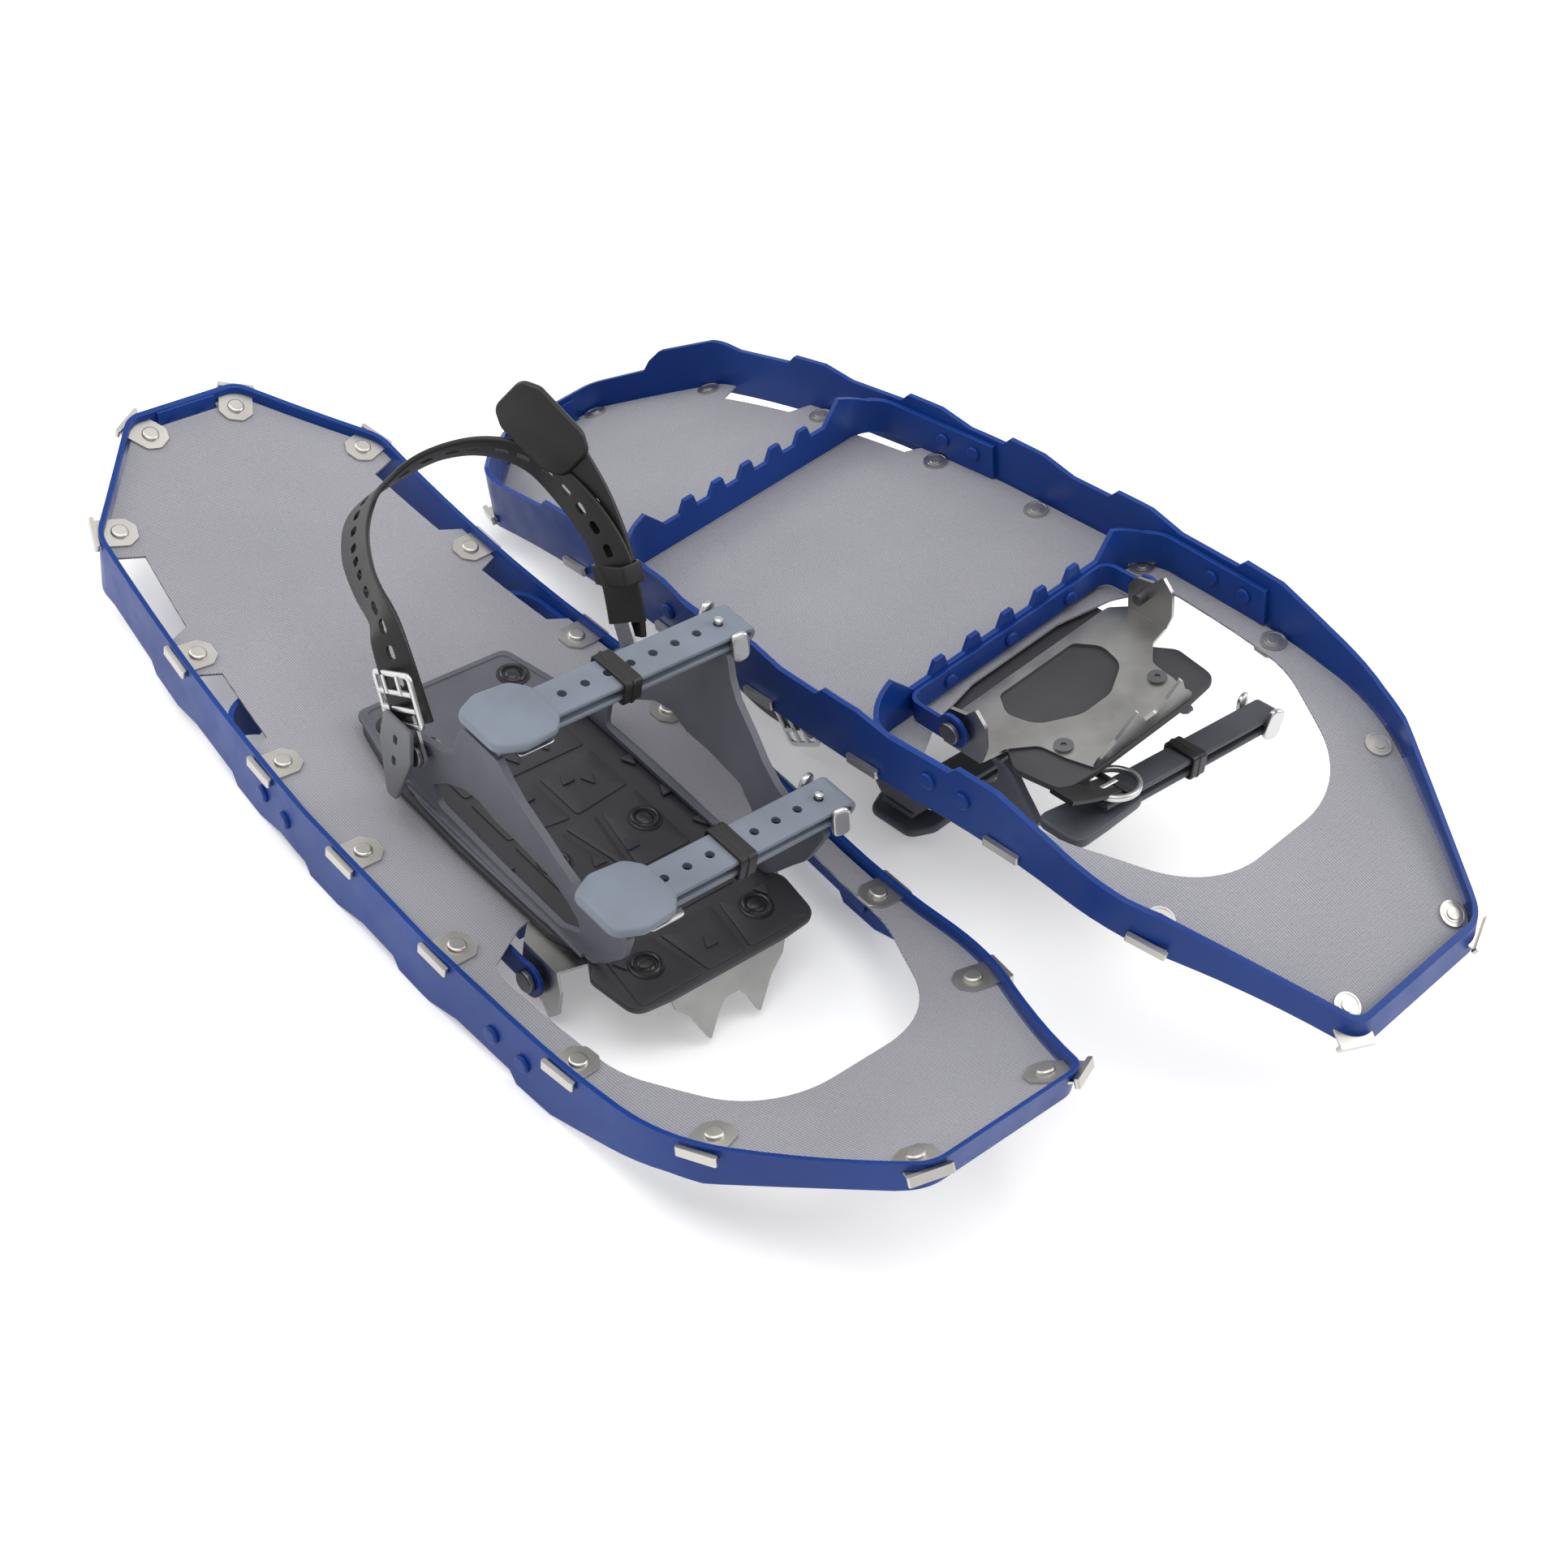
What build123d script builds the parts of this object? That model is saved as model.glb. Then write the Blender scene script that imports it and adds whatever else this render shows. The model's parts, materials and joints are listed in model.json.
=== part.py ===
"""A pair of snowshoes: the right shoe stands on its frame, the left one lies upside down beside it.

The frames are alike and symmetrical, and the left binding is the right one's mirror image.

Each shoe is modelled in its own frame and then placed. In a shoe's frame +Y points to the toe, +X to
the wearer's right and +Z up, and z = 0 is the top face of the flat middle of the deck. All sizes are
millimetres.
"""
import os
from math import asin, atan2, cos, degrees, radians, sin, sqrt

from build123d import *

# Frame: one tall blade of sheet aluminium, bent round the whole shoe.
RIM_CORNERS = [(44, 311), (97, 215), (104, 60), (103, -40), (87, -250), (33, -311)]
RIM_RADII = [14, 120, 300, 300, 22, 16]
RIM_T = 2.6
RIM_ABOVE_DECK = 5
TOOTH_DEPTH, VALLEY_DEPTH = 30, 25
NOSE_DEPTH, TAIL_DEPTH = 11, 19
TALL, FAR = 130, 345

# Deck: one coated sheet, flat in the middle and turned up at both ends.
DECK_T = 1.2
DECK_GAP = 1.2
TOE_BEND_Y, TOE_RADIUS = 120, 350
TAIL_BEND_Y, TAIL_RADIUS = -80, 750

# Clips that hold the deck in the frame: rivet y, rivet half spacing, angle of the clip off +X.
STATIONS = [(-300, 26, -60), (-250, 74, -20), (-162, 83, -4), (-77, 89, -3), (-6, 92, 0),
            (67, 92, 1), (152, 90, 4), (225, 77, 18), (298, 38, 66)]
CLIP_W, CLIP_T, CLIP_INNER, CLIP_BAR_T, CLIP_BAR_H = 18, 1.2, 9, 2.6, 4.5
CLIP_LIFT = 0.2
RIVET_R, RIVET_HEAD_R, RIVET_HEAD_H = 2.0, 4.6, 1.8
WASHER_R, WASHER_T, WASHER_ROOM = 6.5, 1.2, 0.5
HOLE_ROOM = 0.05

# Crossbars: toothed blades across the shoe, their ends bent forward against the frame.
BAR_T, BAR_BEND_R, BAR_TOP, BAR_GAP = 2.6, 20, -1.5, 0.3
FRONT_BAR = (60, 142)
REAR_BAR = (-130, -42)
BAR_END_Z, BAR_BASE_Z, BAR_SMALL_Z, BAR_CORNER_Z = -22, -17, -24, -29.5
BAR_RIVET_R, BAR_RIVET_Z = 2.5, -13
BAR_RIVETS_BACK = (34, 13)

# Binding hinge: a bracket on the front crossbar, two pins and the crampon's ears.
PIVOT_Y, PIVOT_Z, PIN_R = 92, -12, 3.0
BRACKET_X, BRACKET_T, BRACKET_R = 70, 2.0, 9
BRACKET_RIVETS, BRACKET_RIVET_Z = (-42, 0, 42), -9
EAR_X, PLATE_T, PLATE_Z = 66, 1.8, 0.7
PLATE_FRONT, CLAW_ANGLE = 148, 71
CLAW_ROOT = -0.4

# Footbed, harness and straps.
BED_Z, BED_T = PLATE_Z + PLATE_T + 0.05, 4.5
BED_TOP = BED_Z + BED_T
STUDS = [(33, 128), (-33, 128), (27, 54), (-27, 54), (36, -62), (-36, -62)]
STUD_R, STUD_SHANK_R = 7.0, 3.0
PLATE_RIVETS = STUDS[:2]
HARNESS_T, WING_T, WING_X, WING_FLARE = 2.6, 3.6, 49, 11
STRAP_T, STRAP_W, STRAP_PLY, STRAP_TURN = 3.0, 21, 6.4, 8
STRAP_HOLE_R, STRAP_HOLE_STEP = 2.3, 13
PADDLE = [(36, 11), (46, 20), (66, 21), (82, 12)]
PADDLE_T, PADDLE_DROP = 6.2, 0.6
STRAP_HALF = {"front": 62, "rear": 69.5}
HOOK_WIRE, HOOK_LENGTH, HOOK_WIDTH, HOOK_PLATE_T = 2.6, 22, 36, 1.2
KEEPER_X, KEEPER_ROOM, KEEPER_T, KEEPER_W = -7, 0.5, 1.8, 10

# Heel strap. Its side view is given as (y, z) from the harness rivet that it swings on.
HEEL_Y, HEEL_Z, HEEL_X = -6, 47, 69
HEEL_W, HEEL_T, HEEL_BACK, HEEL_PLAN_R = 20, 3.0, -128, 60
LINK_X, LINK_T, LUG_R, LUG_HEAD_R, LUG_HEAD_T = 63, 1.5, 3.0, 5.6, 2.0
HEEL_ROOT, LINK_TOP, KEEPER_TURN = (-4, 8), (-10, 16), 30
TAIL_W, TAIL_T, TAIL_END_L, TAIL_END_W = 17, 3.2, 52, 27
BUCKLE_W, BUCKLE_L, BUCKLE_T, BUCKLE_TURN = 30, 26, 1.8, 30
TONGUE = [(-23, 15), (-2, 15), (-1, -3), (-11, -33), (-18, -33), (-25, -3)]
TONGUE_T = 2.6
LOOP_HOLE_T, LOOP_HOLE_W, LOOP_WALL, LOOP_L = 9.0, 23.0, 1.8, 10

# How each shoe's binding lies. height scales the harness, arms are the (y, z) seats of its straps, straps
# are their (x, y, z, tilt), and the heel strap's side views are (y, z) from its rivets before its swing.
WORN = {"height": 1.0, "arms": [(44, 99), (130, 60)],
        "straps": {"front": (0, 130, 60, 0), "rear": (0, 44, 99, 0)},
        "swing": 0, "strap": [(-25, 44), (-62, 56), (-130, 54)], "strap_r": [20, 40],
        "tail": [(-25, 44), (-66, 103)], "paddle": (-58, 95, 126), "keeper_at": 25}
PRESSED = {"height": 0.8, "arms": [(44, 76), (121, 44)],
           "straps": {"front": (-15, 155, 29, 11), "rear": (0, 44, 84, 7)},
           "swing": 30, "strap": [(-17, 30), (-66, 52), (-130, 68)], "strap_r": [14, 40],
           "tail": [(-20, 33), (-63, 52)], "paddle": (-60, 50, 158), "keeper_at": 17}

# Where the shoes lie. The left one is turned over, leaning on its tail and its folded harness.
FLOOR_Z = -TOOTH_DEPTH
LEFT_PLACE = (-205, 48, 54)
LEFT_LEAN = (8.5, 9.7, 1.4)


def deck_z(y):
    """Height of the deck's top face."""
    if y > TOE_BEND_Y:
        return TOE_RADIUS - sqrt(TOE_RADIUS ** 2 - (y - TOE_BEND_Y) ** 2)
    if y < TAIL_BEND_Y:
        return TAIL_RADIUS - sqrt(TAIL_RADIUS ** 2 - (y - TAIL_BEND_Y) ** 2)
    return 0.0


def deck_slope(y):
    """Rise of the deck towards the toe, in degrees."""
    if y > TOE_BEND_Y:
        return degrees(asin((y - TOE_BEND_Y) / TOE_RADIUS))
    if y < TAIL_BEND_Y:
        return degrees(asin((y - TAIL_BEND_Y) / TAIL_RADIUS))
    return 0.0


def profile(lift):
    """The deck's side profile raised by lift, as edges from tail to toe in the (y, z) plane."""
    tail_r, toe_r = TAIL_RADIUS - lift, TOE_RADIUS - lift

    def tail(y):
        return y, TAIL_RADIUS - sqrt(tail_r ** 2 - (y - TAIL_BEND_Y) ** 2)

    def toe(y):
        return y, TOE_RADIUS - sqrt(toe_r ** 2 - (y - TOE_BEND_Y) ** 2)

    flat = Line((TAIL_BEND_Y, lift), (TOE_BEND_Y, lift))
    tail_arc = ThreePointArc(tail(-FAR), tail((TAIL_BEND_Y - FAR) / 2), flat @ 0)
    toe_arc = ThreePointArc(flat @ 1, toe((TOE_BEND_Y + FAR) / 2), toe(FAR))
    return [tail_arc, flat, toe_arc]


def across(edges, half_width=TALL, centre=0):
    """A closed outline in the (y, z) plane, extruded both ways along X."""
    return Pos(centre, 0, 0) * extrude(Plane.YZ * make_face(edges), half_width, both=True)


def poly(*points):
    return make_face(Polyline(*points, close=True))


def soft_poly(points, radius):
    return make_face(FilletPolyline(*points, radius=radius, close=True))


def mirrored(points):
    """A right-hand outline, from front to back, closed by its mirror image."""
    return points + [(-x, y) for x, y in reversed(points)]


def prism(face, low, high):
    """A plan outline extruded from one height to another."""
    return extrude(Plane.XY.offset(low) * face, high - low)


def rim_outline(inset=0.0):
    """Plan outline of the frame's outer face, moved inwards."""
    face = soft_poly(mirrored(RIM_CORNERS), RIM_RADII + RIM_RADII[::-1])
    return offset(face, -inset, kind=Kind.INTERSECTION) if inset else face


def clip_reach(place):
    """Distance from a rivet, along its clip, at which the clip's cross end clears the frame."""
    face = rim_outline()
    middle_z = CLIP_LIFT + CLIP_T / 2
    corners = [(w * CLIP_W / 4, middle_z + h * CLIP_BAR_H / 2) for w in range(-2, 3) for h in (-1, 1)]
    low, high = 0.0, 40.0
    for _ in range(12):
        reach = (low + high) / 2
        points = [(place * Pos(reach, w, z)).position for w, z in corners]
        if any(face.is_inside(Vector(p.X, p.Y, 0)) for p in points):
            low = reach
        else:
            high = reach
    return high


def stations():
    """Every clip's place, with +X out to the frame and +Z off the deck, and its reach."""
    found = []
    for y, x, turn in STATIONS:
        level = Pos(0, y, deck_z(y)) * Rot(deck_slope(y), 0, 0)
        reach = clip_reach(Pos(x, 0, 0) * level * Rot(0, 0, turn))
        found.append((Pos(x, 0, 0) * level * Rot(0, 0, turn), reach))
        found.append((Pos(-x, 0, 0) * level * Rot(0, 0, 180 - turn), reach))
    return found


def make_rim(clips):
    outer, inner = rim_outline(), rim_outline(RIM_T)
    lower = [(-FAR, -TAIL_DEPTH), (-284, -TAIL_DEPTH)]
    for y, _, _ in STATIONS[1:7]:
        lower += [(y - 31, -VALLEY_DEPTH), (y - 26, -TOOTH_DEPTH)]
        lower += [(y - 3, -TOOTH_DEPTH), (y + 17, -VALLEY_DEPTH)]
    lower += [(217, -17), (232, -18), (262, -13), (300, -NOSE_DEPTH), (FAR, -NOSE_DEPTH)]
    lower = [(y, deck_z(y) + drop) for y, drop in lower]
    top = profile(RIM_ABOVE_DECK)
    ends = [Line(top[0] @ 0, lower[0]), Line(top[2] @ 1, lower[-1])]
    blade = across(top + [Polyline(*lower)] + ends)
    ring = prism(outer - inner, -50, TALL)
    step = poly((-216, 0), (-209, 14), (-191, 13.5), (-190, 0))
    rim = ring & (blade + across(step.edges()))
    rim -= [place * Pos(reach, 0, CLIP_LIFT + CLIP_T / 2) * Box(22, CLIP_W + 0.8, CLIP_T + 0.4)
            for place, reach in clips]
    return rim - bar_rivet_holes()


def make_splice_rivets():
    """Two rivets through the frame's overlapped ends at the tail."""
    rivet = Cylinder(3.4, 1.0) + Pos(0, 0, 0.8) * Cylinder(2.4, 0.8)
    tail_y = RIM_CORNERS[-1][1]
    height = deck_z(tail_y) - 6
    return [Pos(x, tail_y + RIM_T + 2.3, height) * Rot(-90, 0, 0) * rivet for x in (-9, 9)]


def make_splice_plate():
    """The frame's second end, lapped inside the first at the tail."""
    tail_y = RIM_CORNERS[-1][1]
    height = deck_z(tail_y)
    plate = Box(34, 1.6, 20)
    return Pos(0, tail_y + RIM_T + 0.9, height - 6) * plate


def bar_lean(bar):
    """Lean of the frame's side beside a crossbar's ends, in radians, and the side's rear corner."""
    front, rear = RIM_CORNERS[1:3] if bar[0] > 0 else RIM_CORNERS[3:5]
    return atan2(front[0] - rear[0], front[1] - rear[1]), rear


def bar_half_width(bar, y):
    """Half spacing of a crossbar's bent ends, which lie against the frame's inner face."""
    lean, (rear_x, rear_y) = bar_lean(bar)
    return rear_x + (y - rear_y) * sin(lean) / cos(lean) - (RIM_T + BAR_T / 2 + BAR_GAP) / cos(lean)


def bar_rivet_places():
    """Rivets through the crossbars' ends and the frame, with +Z pointing outwards."""
    places = []
    for bar in (FRONT_BAR, REAR_BAR):
        lean = degrees(bar_lean(bar)[0])
        for back in BAR_RIVETS_BACK:
            y = bar[1] - back
            places += [Pos(side * bar_half_width(bar, y), y, BAR_RIVET_Z) * Rot(0, 0, -side * lean)
                       * Rot(0, side * 90, 0) for side in (1, -1)]
    return places


def bar_rivet_holes():
    return [place * Cylinder(BAR_RIVET_R + HOLE_ROOM, 14) for place in bar_rivet_places()]


def make_bar_rivets():
    dome = fillet(Cylinder(4.4, 2.0).edges().group_by(Axis.Z)[-1], 1.4)
    tail = fillet(Cylinder(4.0, 1.6).edges().group_by(Axis.Z)[0], 1.0)
    outside, inside = RIM_T + BAR_T / 2 + BAR_GAP + 0.2, BAR_T / 2 + 0.2
    shank = Pos(0, 0, (outside - inside) / 2) * Cylinder(BAR_RIVET_R, outside + inside)
    rivet = shank + Pos(0, 0, outside + 0.9) * dome + Pos(0, 0, -inside - 0.7) * tail
    return [place * rivet for place in bar_rivet_places()]


def make_crossbar(bar, clips):
    """Toothed blade whose ends bend forward against the frame, cleared under the deck's washers."""
    bar_y, end_y = bar
    half = BAR_T / 2
    x_bend, x_tip = bar_half_width(bar, bar_y), bar_half_width(bar, end_y)
    outside = [(-x_tip - half, end_y), (-x_bend - half, bar_y - half),
               (x_bend + half, bar_y - half), (x_tip + half, end_y)]
    inside = [(-x_tip + half, end_y), (-x_bend + half, bar_y + half),
              (x_bend - half, bar_y + half), (x_tip - half, end_y)]
    long_side = FilletPolyline(*outside, radius=BAR_BEND_R + half)
    short_side = FilletPolyline(*inside, radius=BAR_BEND_R - half)
    tips = [Line(long_side @ 0, short_side @ 0), Line(long_side @ 1, short_side @ 1)]
    blade = prism(make_face([long_side, short_side] + tips), -32, BAR_TOP)
    corner = x_bend - 23
    edge = [(-TALL, BAR_END_Z), (-x_bend + 6, BAR_END_Z), (-corner, BAR_CORNER_Z)]
    edge.append((12 - corner, BAR_BASE_Z))
    for i in range(-2, 3):
        x = i * (corner - 16) / 2.6
        edge += [(x - 6, BAR_BASE_Z), (x - 2, BAR_SMALL_Z), (x + 4, BAR_SMALL_Z), (x + 6, BAR_BASE_Z)]
    edge += [(corner - 12, BAR_BASE_Z), (corner, BAR_CORNER_Z), (x_bend - 6, BAR_END_Z), (TALL, BAR_END_Z)]
    below = poly(*edge, (TALL, -60), (-TALL, -60))
    blade -= extrude(Plane.XZ * below, 2 * TALL, both=True)
    if bar == FRONT_BAR:
        blade -= [Pos(x, bar_y, BRACKET_RIVET_Z) * Rot(90, 0, 0) * Cylinder(RIVET_R + HOLE_ROOM, 12)
                  for x in BRACKET_RIVETS]
    washer_room = Pos(0, 0, -2) * Cylinder(WASHER_R + WASHER_ROOM, 4)
    return blade - bar_rivet_holes() - [place * washer_room for place, _ in clips]


def make_deck(clips):
    """The deck sheet, notched beside the rear clips, with the large opening under the toes."""
    plan = rim_outline(RIM_T + DECK_GAP)
    toe_corners = [(30, 66), (62, 73), (85, 86), (86, 96), (80, 168), (48, 231)]
    plan -= soft_poly(mirrored(toe_corners[::-1]), [52, 60, 6, 6, 12, 12, 12, 12, 6, 6, 60, 52])
    for near, far in ((-232, -182), (-146, -97)):
        for side in (1, -1):
            outer = [(120, near - 18), (120, far + 18)]
            x_near, x_far = (70, 77) if near < -200 else (79, 85)
            notch = [(side * x, y) for x, y in outer + [(x_far, far), (x_near, near)]]
            plan -= poly(*notch)
    plan -= poly((-18, -320), (18, -320), (18, -304), (-18, -304))
    upper, lower = profile(0), profile(-DECK_T)
    ends = [Line(upper[0] @ 0, lower[0] @ 0), Line(upper[2] @ 1, lower[2] @ 1)]
    deck = prism(plan, -20, TALL) & across(upper + lower + ends)
    return deck - [place * Cylinder(RIVET_R + HOLE_ROOM, 8) for place, _ in clips]


def make_clips(clips):
    """Folded steel tabs: each lies on the deck and its cross end bears on the frame's outer face."""
    made = []
    for place, reach in clips:
        tab = [(-CLIP_INNER, 4), (-4, CLIP_W / 2), (reach + 0.6, CLIP_W / 2), (reach + 0.6, -CLIP_W / 2),
               (-4, -CLIP_W / 2), (-CLIP_INNER, -4)]
        plate = prism(soft_poly(tab, [3, 3, 0.3, 0.3, 3, 3]), CLIP_LIFT, CLIP_LIFT + CLIP_T)
        end = Box(CLIP_BAR_T, CLIP_W + 2, CLIP_BAR_H)
        end = fillet(end.edges().filter_by(Axis.Z), 1.0)
        clip = plate + Pos(reach + 0.2 + CLIP_BAR_T / 2, 0, CLIP_LIFT + CLIP_T / 2) * end
        made.append(place * (clip - Cylinder(RIVET_R + HOLE_ROOM, 12)))
    return made


def make_deck_rivets(clips):
    head = fillet(Cylinder(RIVET_HEAD_R, RIVET_HEAD_H).edges().group_by(Axis.Z)[-1], 1.4)
    top = CLIP_LIFT + CLIP_T
    bottom = -DECK_T - WASHER_T - 0.15
    shank = Pos(0, 0, (top + bottom) / 2) * Cylinder(RIVET_R, top - bottom)
    rivet = shank + Pos(0, 0, top + RIVET_HEAD_H / 2) * head + Pos(0, 0, bottom - 0.3) * Cylinder(3.0, 0.6)
    return [place * rivet for place, _ in clips]


def make_washers(clips):
    washer = Cylinder(WASHER_R, WASHER_T) - Cylinder(RIVET_R + HOLE_ROOM, 4)
    washer -= Pos(0, 0, -WASHER_T / 2) * (Cylinder(5.6, 0.5) - Cylinder(4.4, 0.6))
    return [place * Pos(0, 0, -DECK_T - 0.1 - WASHER_T / 2) * washer for place, _ in clips]


def make_bracket():
    """Strip on the front crossbar whose ends turn forward into the hinge's outer ears."""
    front = FRONT_BAR[0] + BAR_T / 2 + 0.1
    x, t = BRACKET_X, BRACKET_T
    end = PIVOT_Y + BRACKET_R
    outside = FilletPolyline((-x, end), (-x, front), (x, front), (x, end), radius=8)
    inside = FilletPolyline((-x + t, end), (-x + t, front + t), (x - t, front + t), (x - t, end), radius=6)
    tips = [Line(outside @ 0, inside @ 0), Line(outside @ 1, inside @ 1)]
    strip = prism(make_face([outside, inside] + tips), -24, 0)
    arm = Pos((front + PIVOT_Y) / 2, PIVOT_Z + 2) * Rectangle(PIVOT_Y - front, 12)
    shape = arm + Pos(PIVOT_Y, PIVOT_Z) * Circle(BRACKET_R)
    strip &= extrude(Plane.YZ * shape, TALL, both=True)
    strip -= [Pos(x, front, BRACKET_RIVET_Z) * Rot(90, 0, 0) * Cylinder(RIVET_R + HOLE_ROOM, 12)
              for x in BRACKET_RIVETS]
    return strip - Pos(0, PIVOT_Y, PIVOT_Z) * Rot(0, 90, 0) * Cylinder(PIN_R + HOLE_ROOM, 200)


def make_bracket_rivets():
    head = fillet(Cylinder(3.8, 1.6).edges().group_by(Axis.Z)[-1], 1.1)
    rivet = Cylinder(RIVET_R, BAR_T + BRACKET_T + 0.4) + Pos(0, 0, 3.3) * head
    rivet += Pos(0, 0, -2.9) * Cylinder(3.4, 0.8)
    middle = FRONT_BAR[0] + BRACKET_T / 2
    return [Pos(x, middle, BRACKET_RIVET_Z) * Rot(-90, 0, 0) * rivet for x in BRACKET_RIVETS]


def make_pivot_pins():
    """Headed pins through the bracket's ears into the crampon's ears."""
    pin = Cylinder(PIN_R, 14) + Pos(0, 0, 5.7) * fillet(Cylinder(5.6, 2.6).edges().group_by(Axis.Z)[-1], 1)
    return [Pos(side * (EAR_X + 0.2), PIVOT_Y, PIVOT_Z) * Rot(0, side * 90, 0) * pin for side in (1, -1)]


def make_crampon():
    """Steel plate under the ball of the foot, with ears, side claws and two front claws."""
    x, t = EAR_X, PLATE_T
    plan = [(x, 82), (x, 106), (52, 109), (40, 119), (38, 134), (34, PLATE_FRONT)]
    plan = [(58, 74)] + plan
    plate = soft_poly(mirrored(plan[::-1]), [2, 2, 8, 4, 3, 3, 5, 5, 3, 3, 4, 8, 2, 2])
    window = [(10, 119), (30, 108), (34, 92), (26, 80)]
    plate -= soft_poly(mirrored(window), [14, 14, 10, 5, 5, 10, 14, 14])
    crampon = prism(plate, PLATE_Z, PLATE_Z + t)
    top = PLATE_Z + t
    ear = [(82, top), (82, -14), (87, -21), (98, -23), (104, -29), (110, -22), (110, -8), (106, top)]
    ear_face = soft_poly(ear, [0.5, 8, 3, 2, 0.6, 4, 6, 0.5])
    for side in (1, -1):
        crampon += across(ear_face.edges(), t / 2, side * (x - t / 2))
    tilt = Plane((0, PLATE_FRONT - 0.6, PLATE_Z + t / 2), x_dir=(1, 0, 0),
                 z_dir=(0, sin(radians(CLAW_ANGLE)), cos(radians(CLAW_ANGLE))))
    claws = [(34, CLAW_ROOT), (32, 6), (24, 14), (15, 30.5), (9, 19), (4, 13)]
    claw_face = soft_poly(mirrored(claws), [0.5, 3, 5, 0.8, 3, 2.5, 2.5, 3, 0.8, 5, 3, 0.5])
    crampon += extrude(tilt * claw_face, t / 2, both=True)
    crampon -= [Pos(px, py, PLATE_Z) * Cylinder(RIVET_R + HOLE_ROOM, 12) for px, py in PLATE_RIVETS]
    return crampon - Pos(0, PIVOT_Y, PIVOT_Z) * Rot(0, 90, 0) * Cylinder(PIN_R + HOLE_ROOM, 200)


def make_plate_rivets():
    """Hex-socket rivets under the crampon, one below each front stud."""
    head_t, socket_depth = 1.4, 0.8
    socket = extrude(RegularPolygon(1.7, 6), socket_depth)
    head = Pos(0, 0, PLATE_Z - head_t / 2) * Cylinder(4.8, head_t)
    shank = Pos(0, 0, PLATE_Z + PLATE_T / 2 - 0.3) * Cylinder(RIVET_R, PLATE_T + 0.5)
    rivet = head + shank - Pos(0, 0, PLATE_Z - head_t) * socket
    return [Pos(x, y, 0) * rivet for x, y in PLATE_RIVETS]


def bed_outline():
    half = [(34, 149), (54, 147), (58, 120), (49, 106), (56, 88), (58, 20), (57, -30), (46, -76)]
    return soft_poly(mirrored(half), [4, 9, 7, 9, 12, 60, 14, 8] + [8, 14, 60, 12, 9, 7, 9, 4])


def make_footbed():
    bed = prism(bed_outline(), BED_Z, BED_TOP)
    return bed - [Pos(x, y, BED_Z) * Cylinder(STUD_SHANK_R + HOLE_ROOM, 20) for x, y in STUDS]


def make_studs():
    """Round studs with a dished top, through the footbed's corners and middle."""
    head_t, foot = 1.4, BED_Z + 0.3
    made = []
    for x, y in STUDS:
        seat = BED_TOP + (HARNESS_T if y < 0 else 0) + 0.05
        head = Pos(0, 0, seat + head_t / 2) * Cylinder(STUD_R, head_t)
        dish = Pos(0, 0, seat + head_t) * Cylinder(4.6, 1.2)
        shank = Pos(0, 0, (foot + seat + 0.3) / 2) * Cylinder(STUD_SHANK_R, seat + 0.3 - foot)
        made.append(Pos(x, y, 0) * (head + shank - dish))
    return made


def make_harness(lie):
    """One-piece rubber harness: a flat rear piece and two wings that rise to the straps."""
    height = lie["height"]

    def up(z):
        return (z - BED_TOP) * height + BED_TOP

    rear = [(38, -30), (50, -26), (50, -44), (43, -79)]
    plate = prism(soft_poly(mirrored(rear), [6, 3, 12, 7, 7, 12, 3, 6]), BED_TOP, BED_TOP + HARNESS_T)
    plate -= [Pos(x, y, BED_TOP) * Cylinder(STUD_SHANK_R + HOLE_ROOM, 12) for x, y in STUDS if y < 0]
    (rear_y, rear_z), (front_y, front_z) = lie["arms"]
    rear_arm, front_arm = arm_top(rear_z), arm_top(front_z)
    wing = [(-30, BED_TOP), (-26, up(26)), (-14, up(56)), (2, up(58)), (20, up(66)),
            (rear_y - 15, rear_arm), (rear_y + 14, rear_arm), (rear_y + 22, up(70) - 2),
            (front_y - 49, up(46)), (front_y - 32, up(43)), (front_y - 15, front_arm),
            (front_y + 11, front_arm), (front_y + 7, up(34)), (112, BED_TOP)]
    radii = [1, 8, 6, 8, 8, 3, 3, 7, 8, 8, 3, 3, 14, 1]
    sheet = across(soft_poly(wing, radii).edges(), WING_T / 2)
    foot = [(38, -30), (52, -30), (52, 112), (42, 112)]
    harness = plate
    for side in (1, -1):
        root = Pos(side * WING_X, 0, BED_TOP)
        flared = root * Rot(0, side * WING_FLARE, 0) * Pos(0, 0, -BED_TOP) * sheet
        strip = prism(poly(*[(side * x, y) for x, y in foot]), BED_TOP, BED_TOP + HARNESS_T)
        strip -= [Pos(x, y, BED_TOP) * Cylinder(STUD_R + 1, 12) for x, y in STUDS if y > 0]
        harness += (flared & Pos(0, 40, BED_TOP + 80) * Box(260, 300, 160)) + strip
    return harness - Pos(0, HEEL_Y, up(HEEL_Z)) * Rot(0, 90, 0) * Cylinder(LUG_R + HOLE_ROOM, 200)


def arm_top(seat):
    """Top of a wing's arm, before the wing is flared: just under the strap's lower ply."""
    return BED_TOP + (seat - BED_TOP - STRAP_PLY - 0.6) / cos(radians(WING_FLARE))


def strap_place(lie, strap):
    """Where a toe strap lies: the middle of its upper ply's underside, with +X towards the paddle."""
    x, y, z, tilt = lie["straps"][strap]
    return Pos(x, y, z) * Rot(0, tilt, 0)


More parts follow.
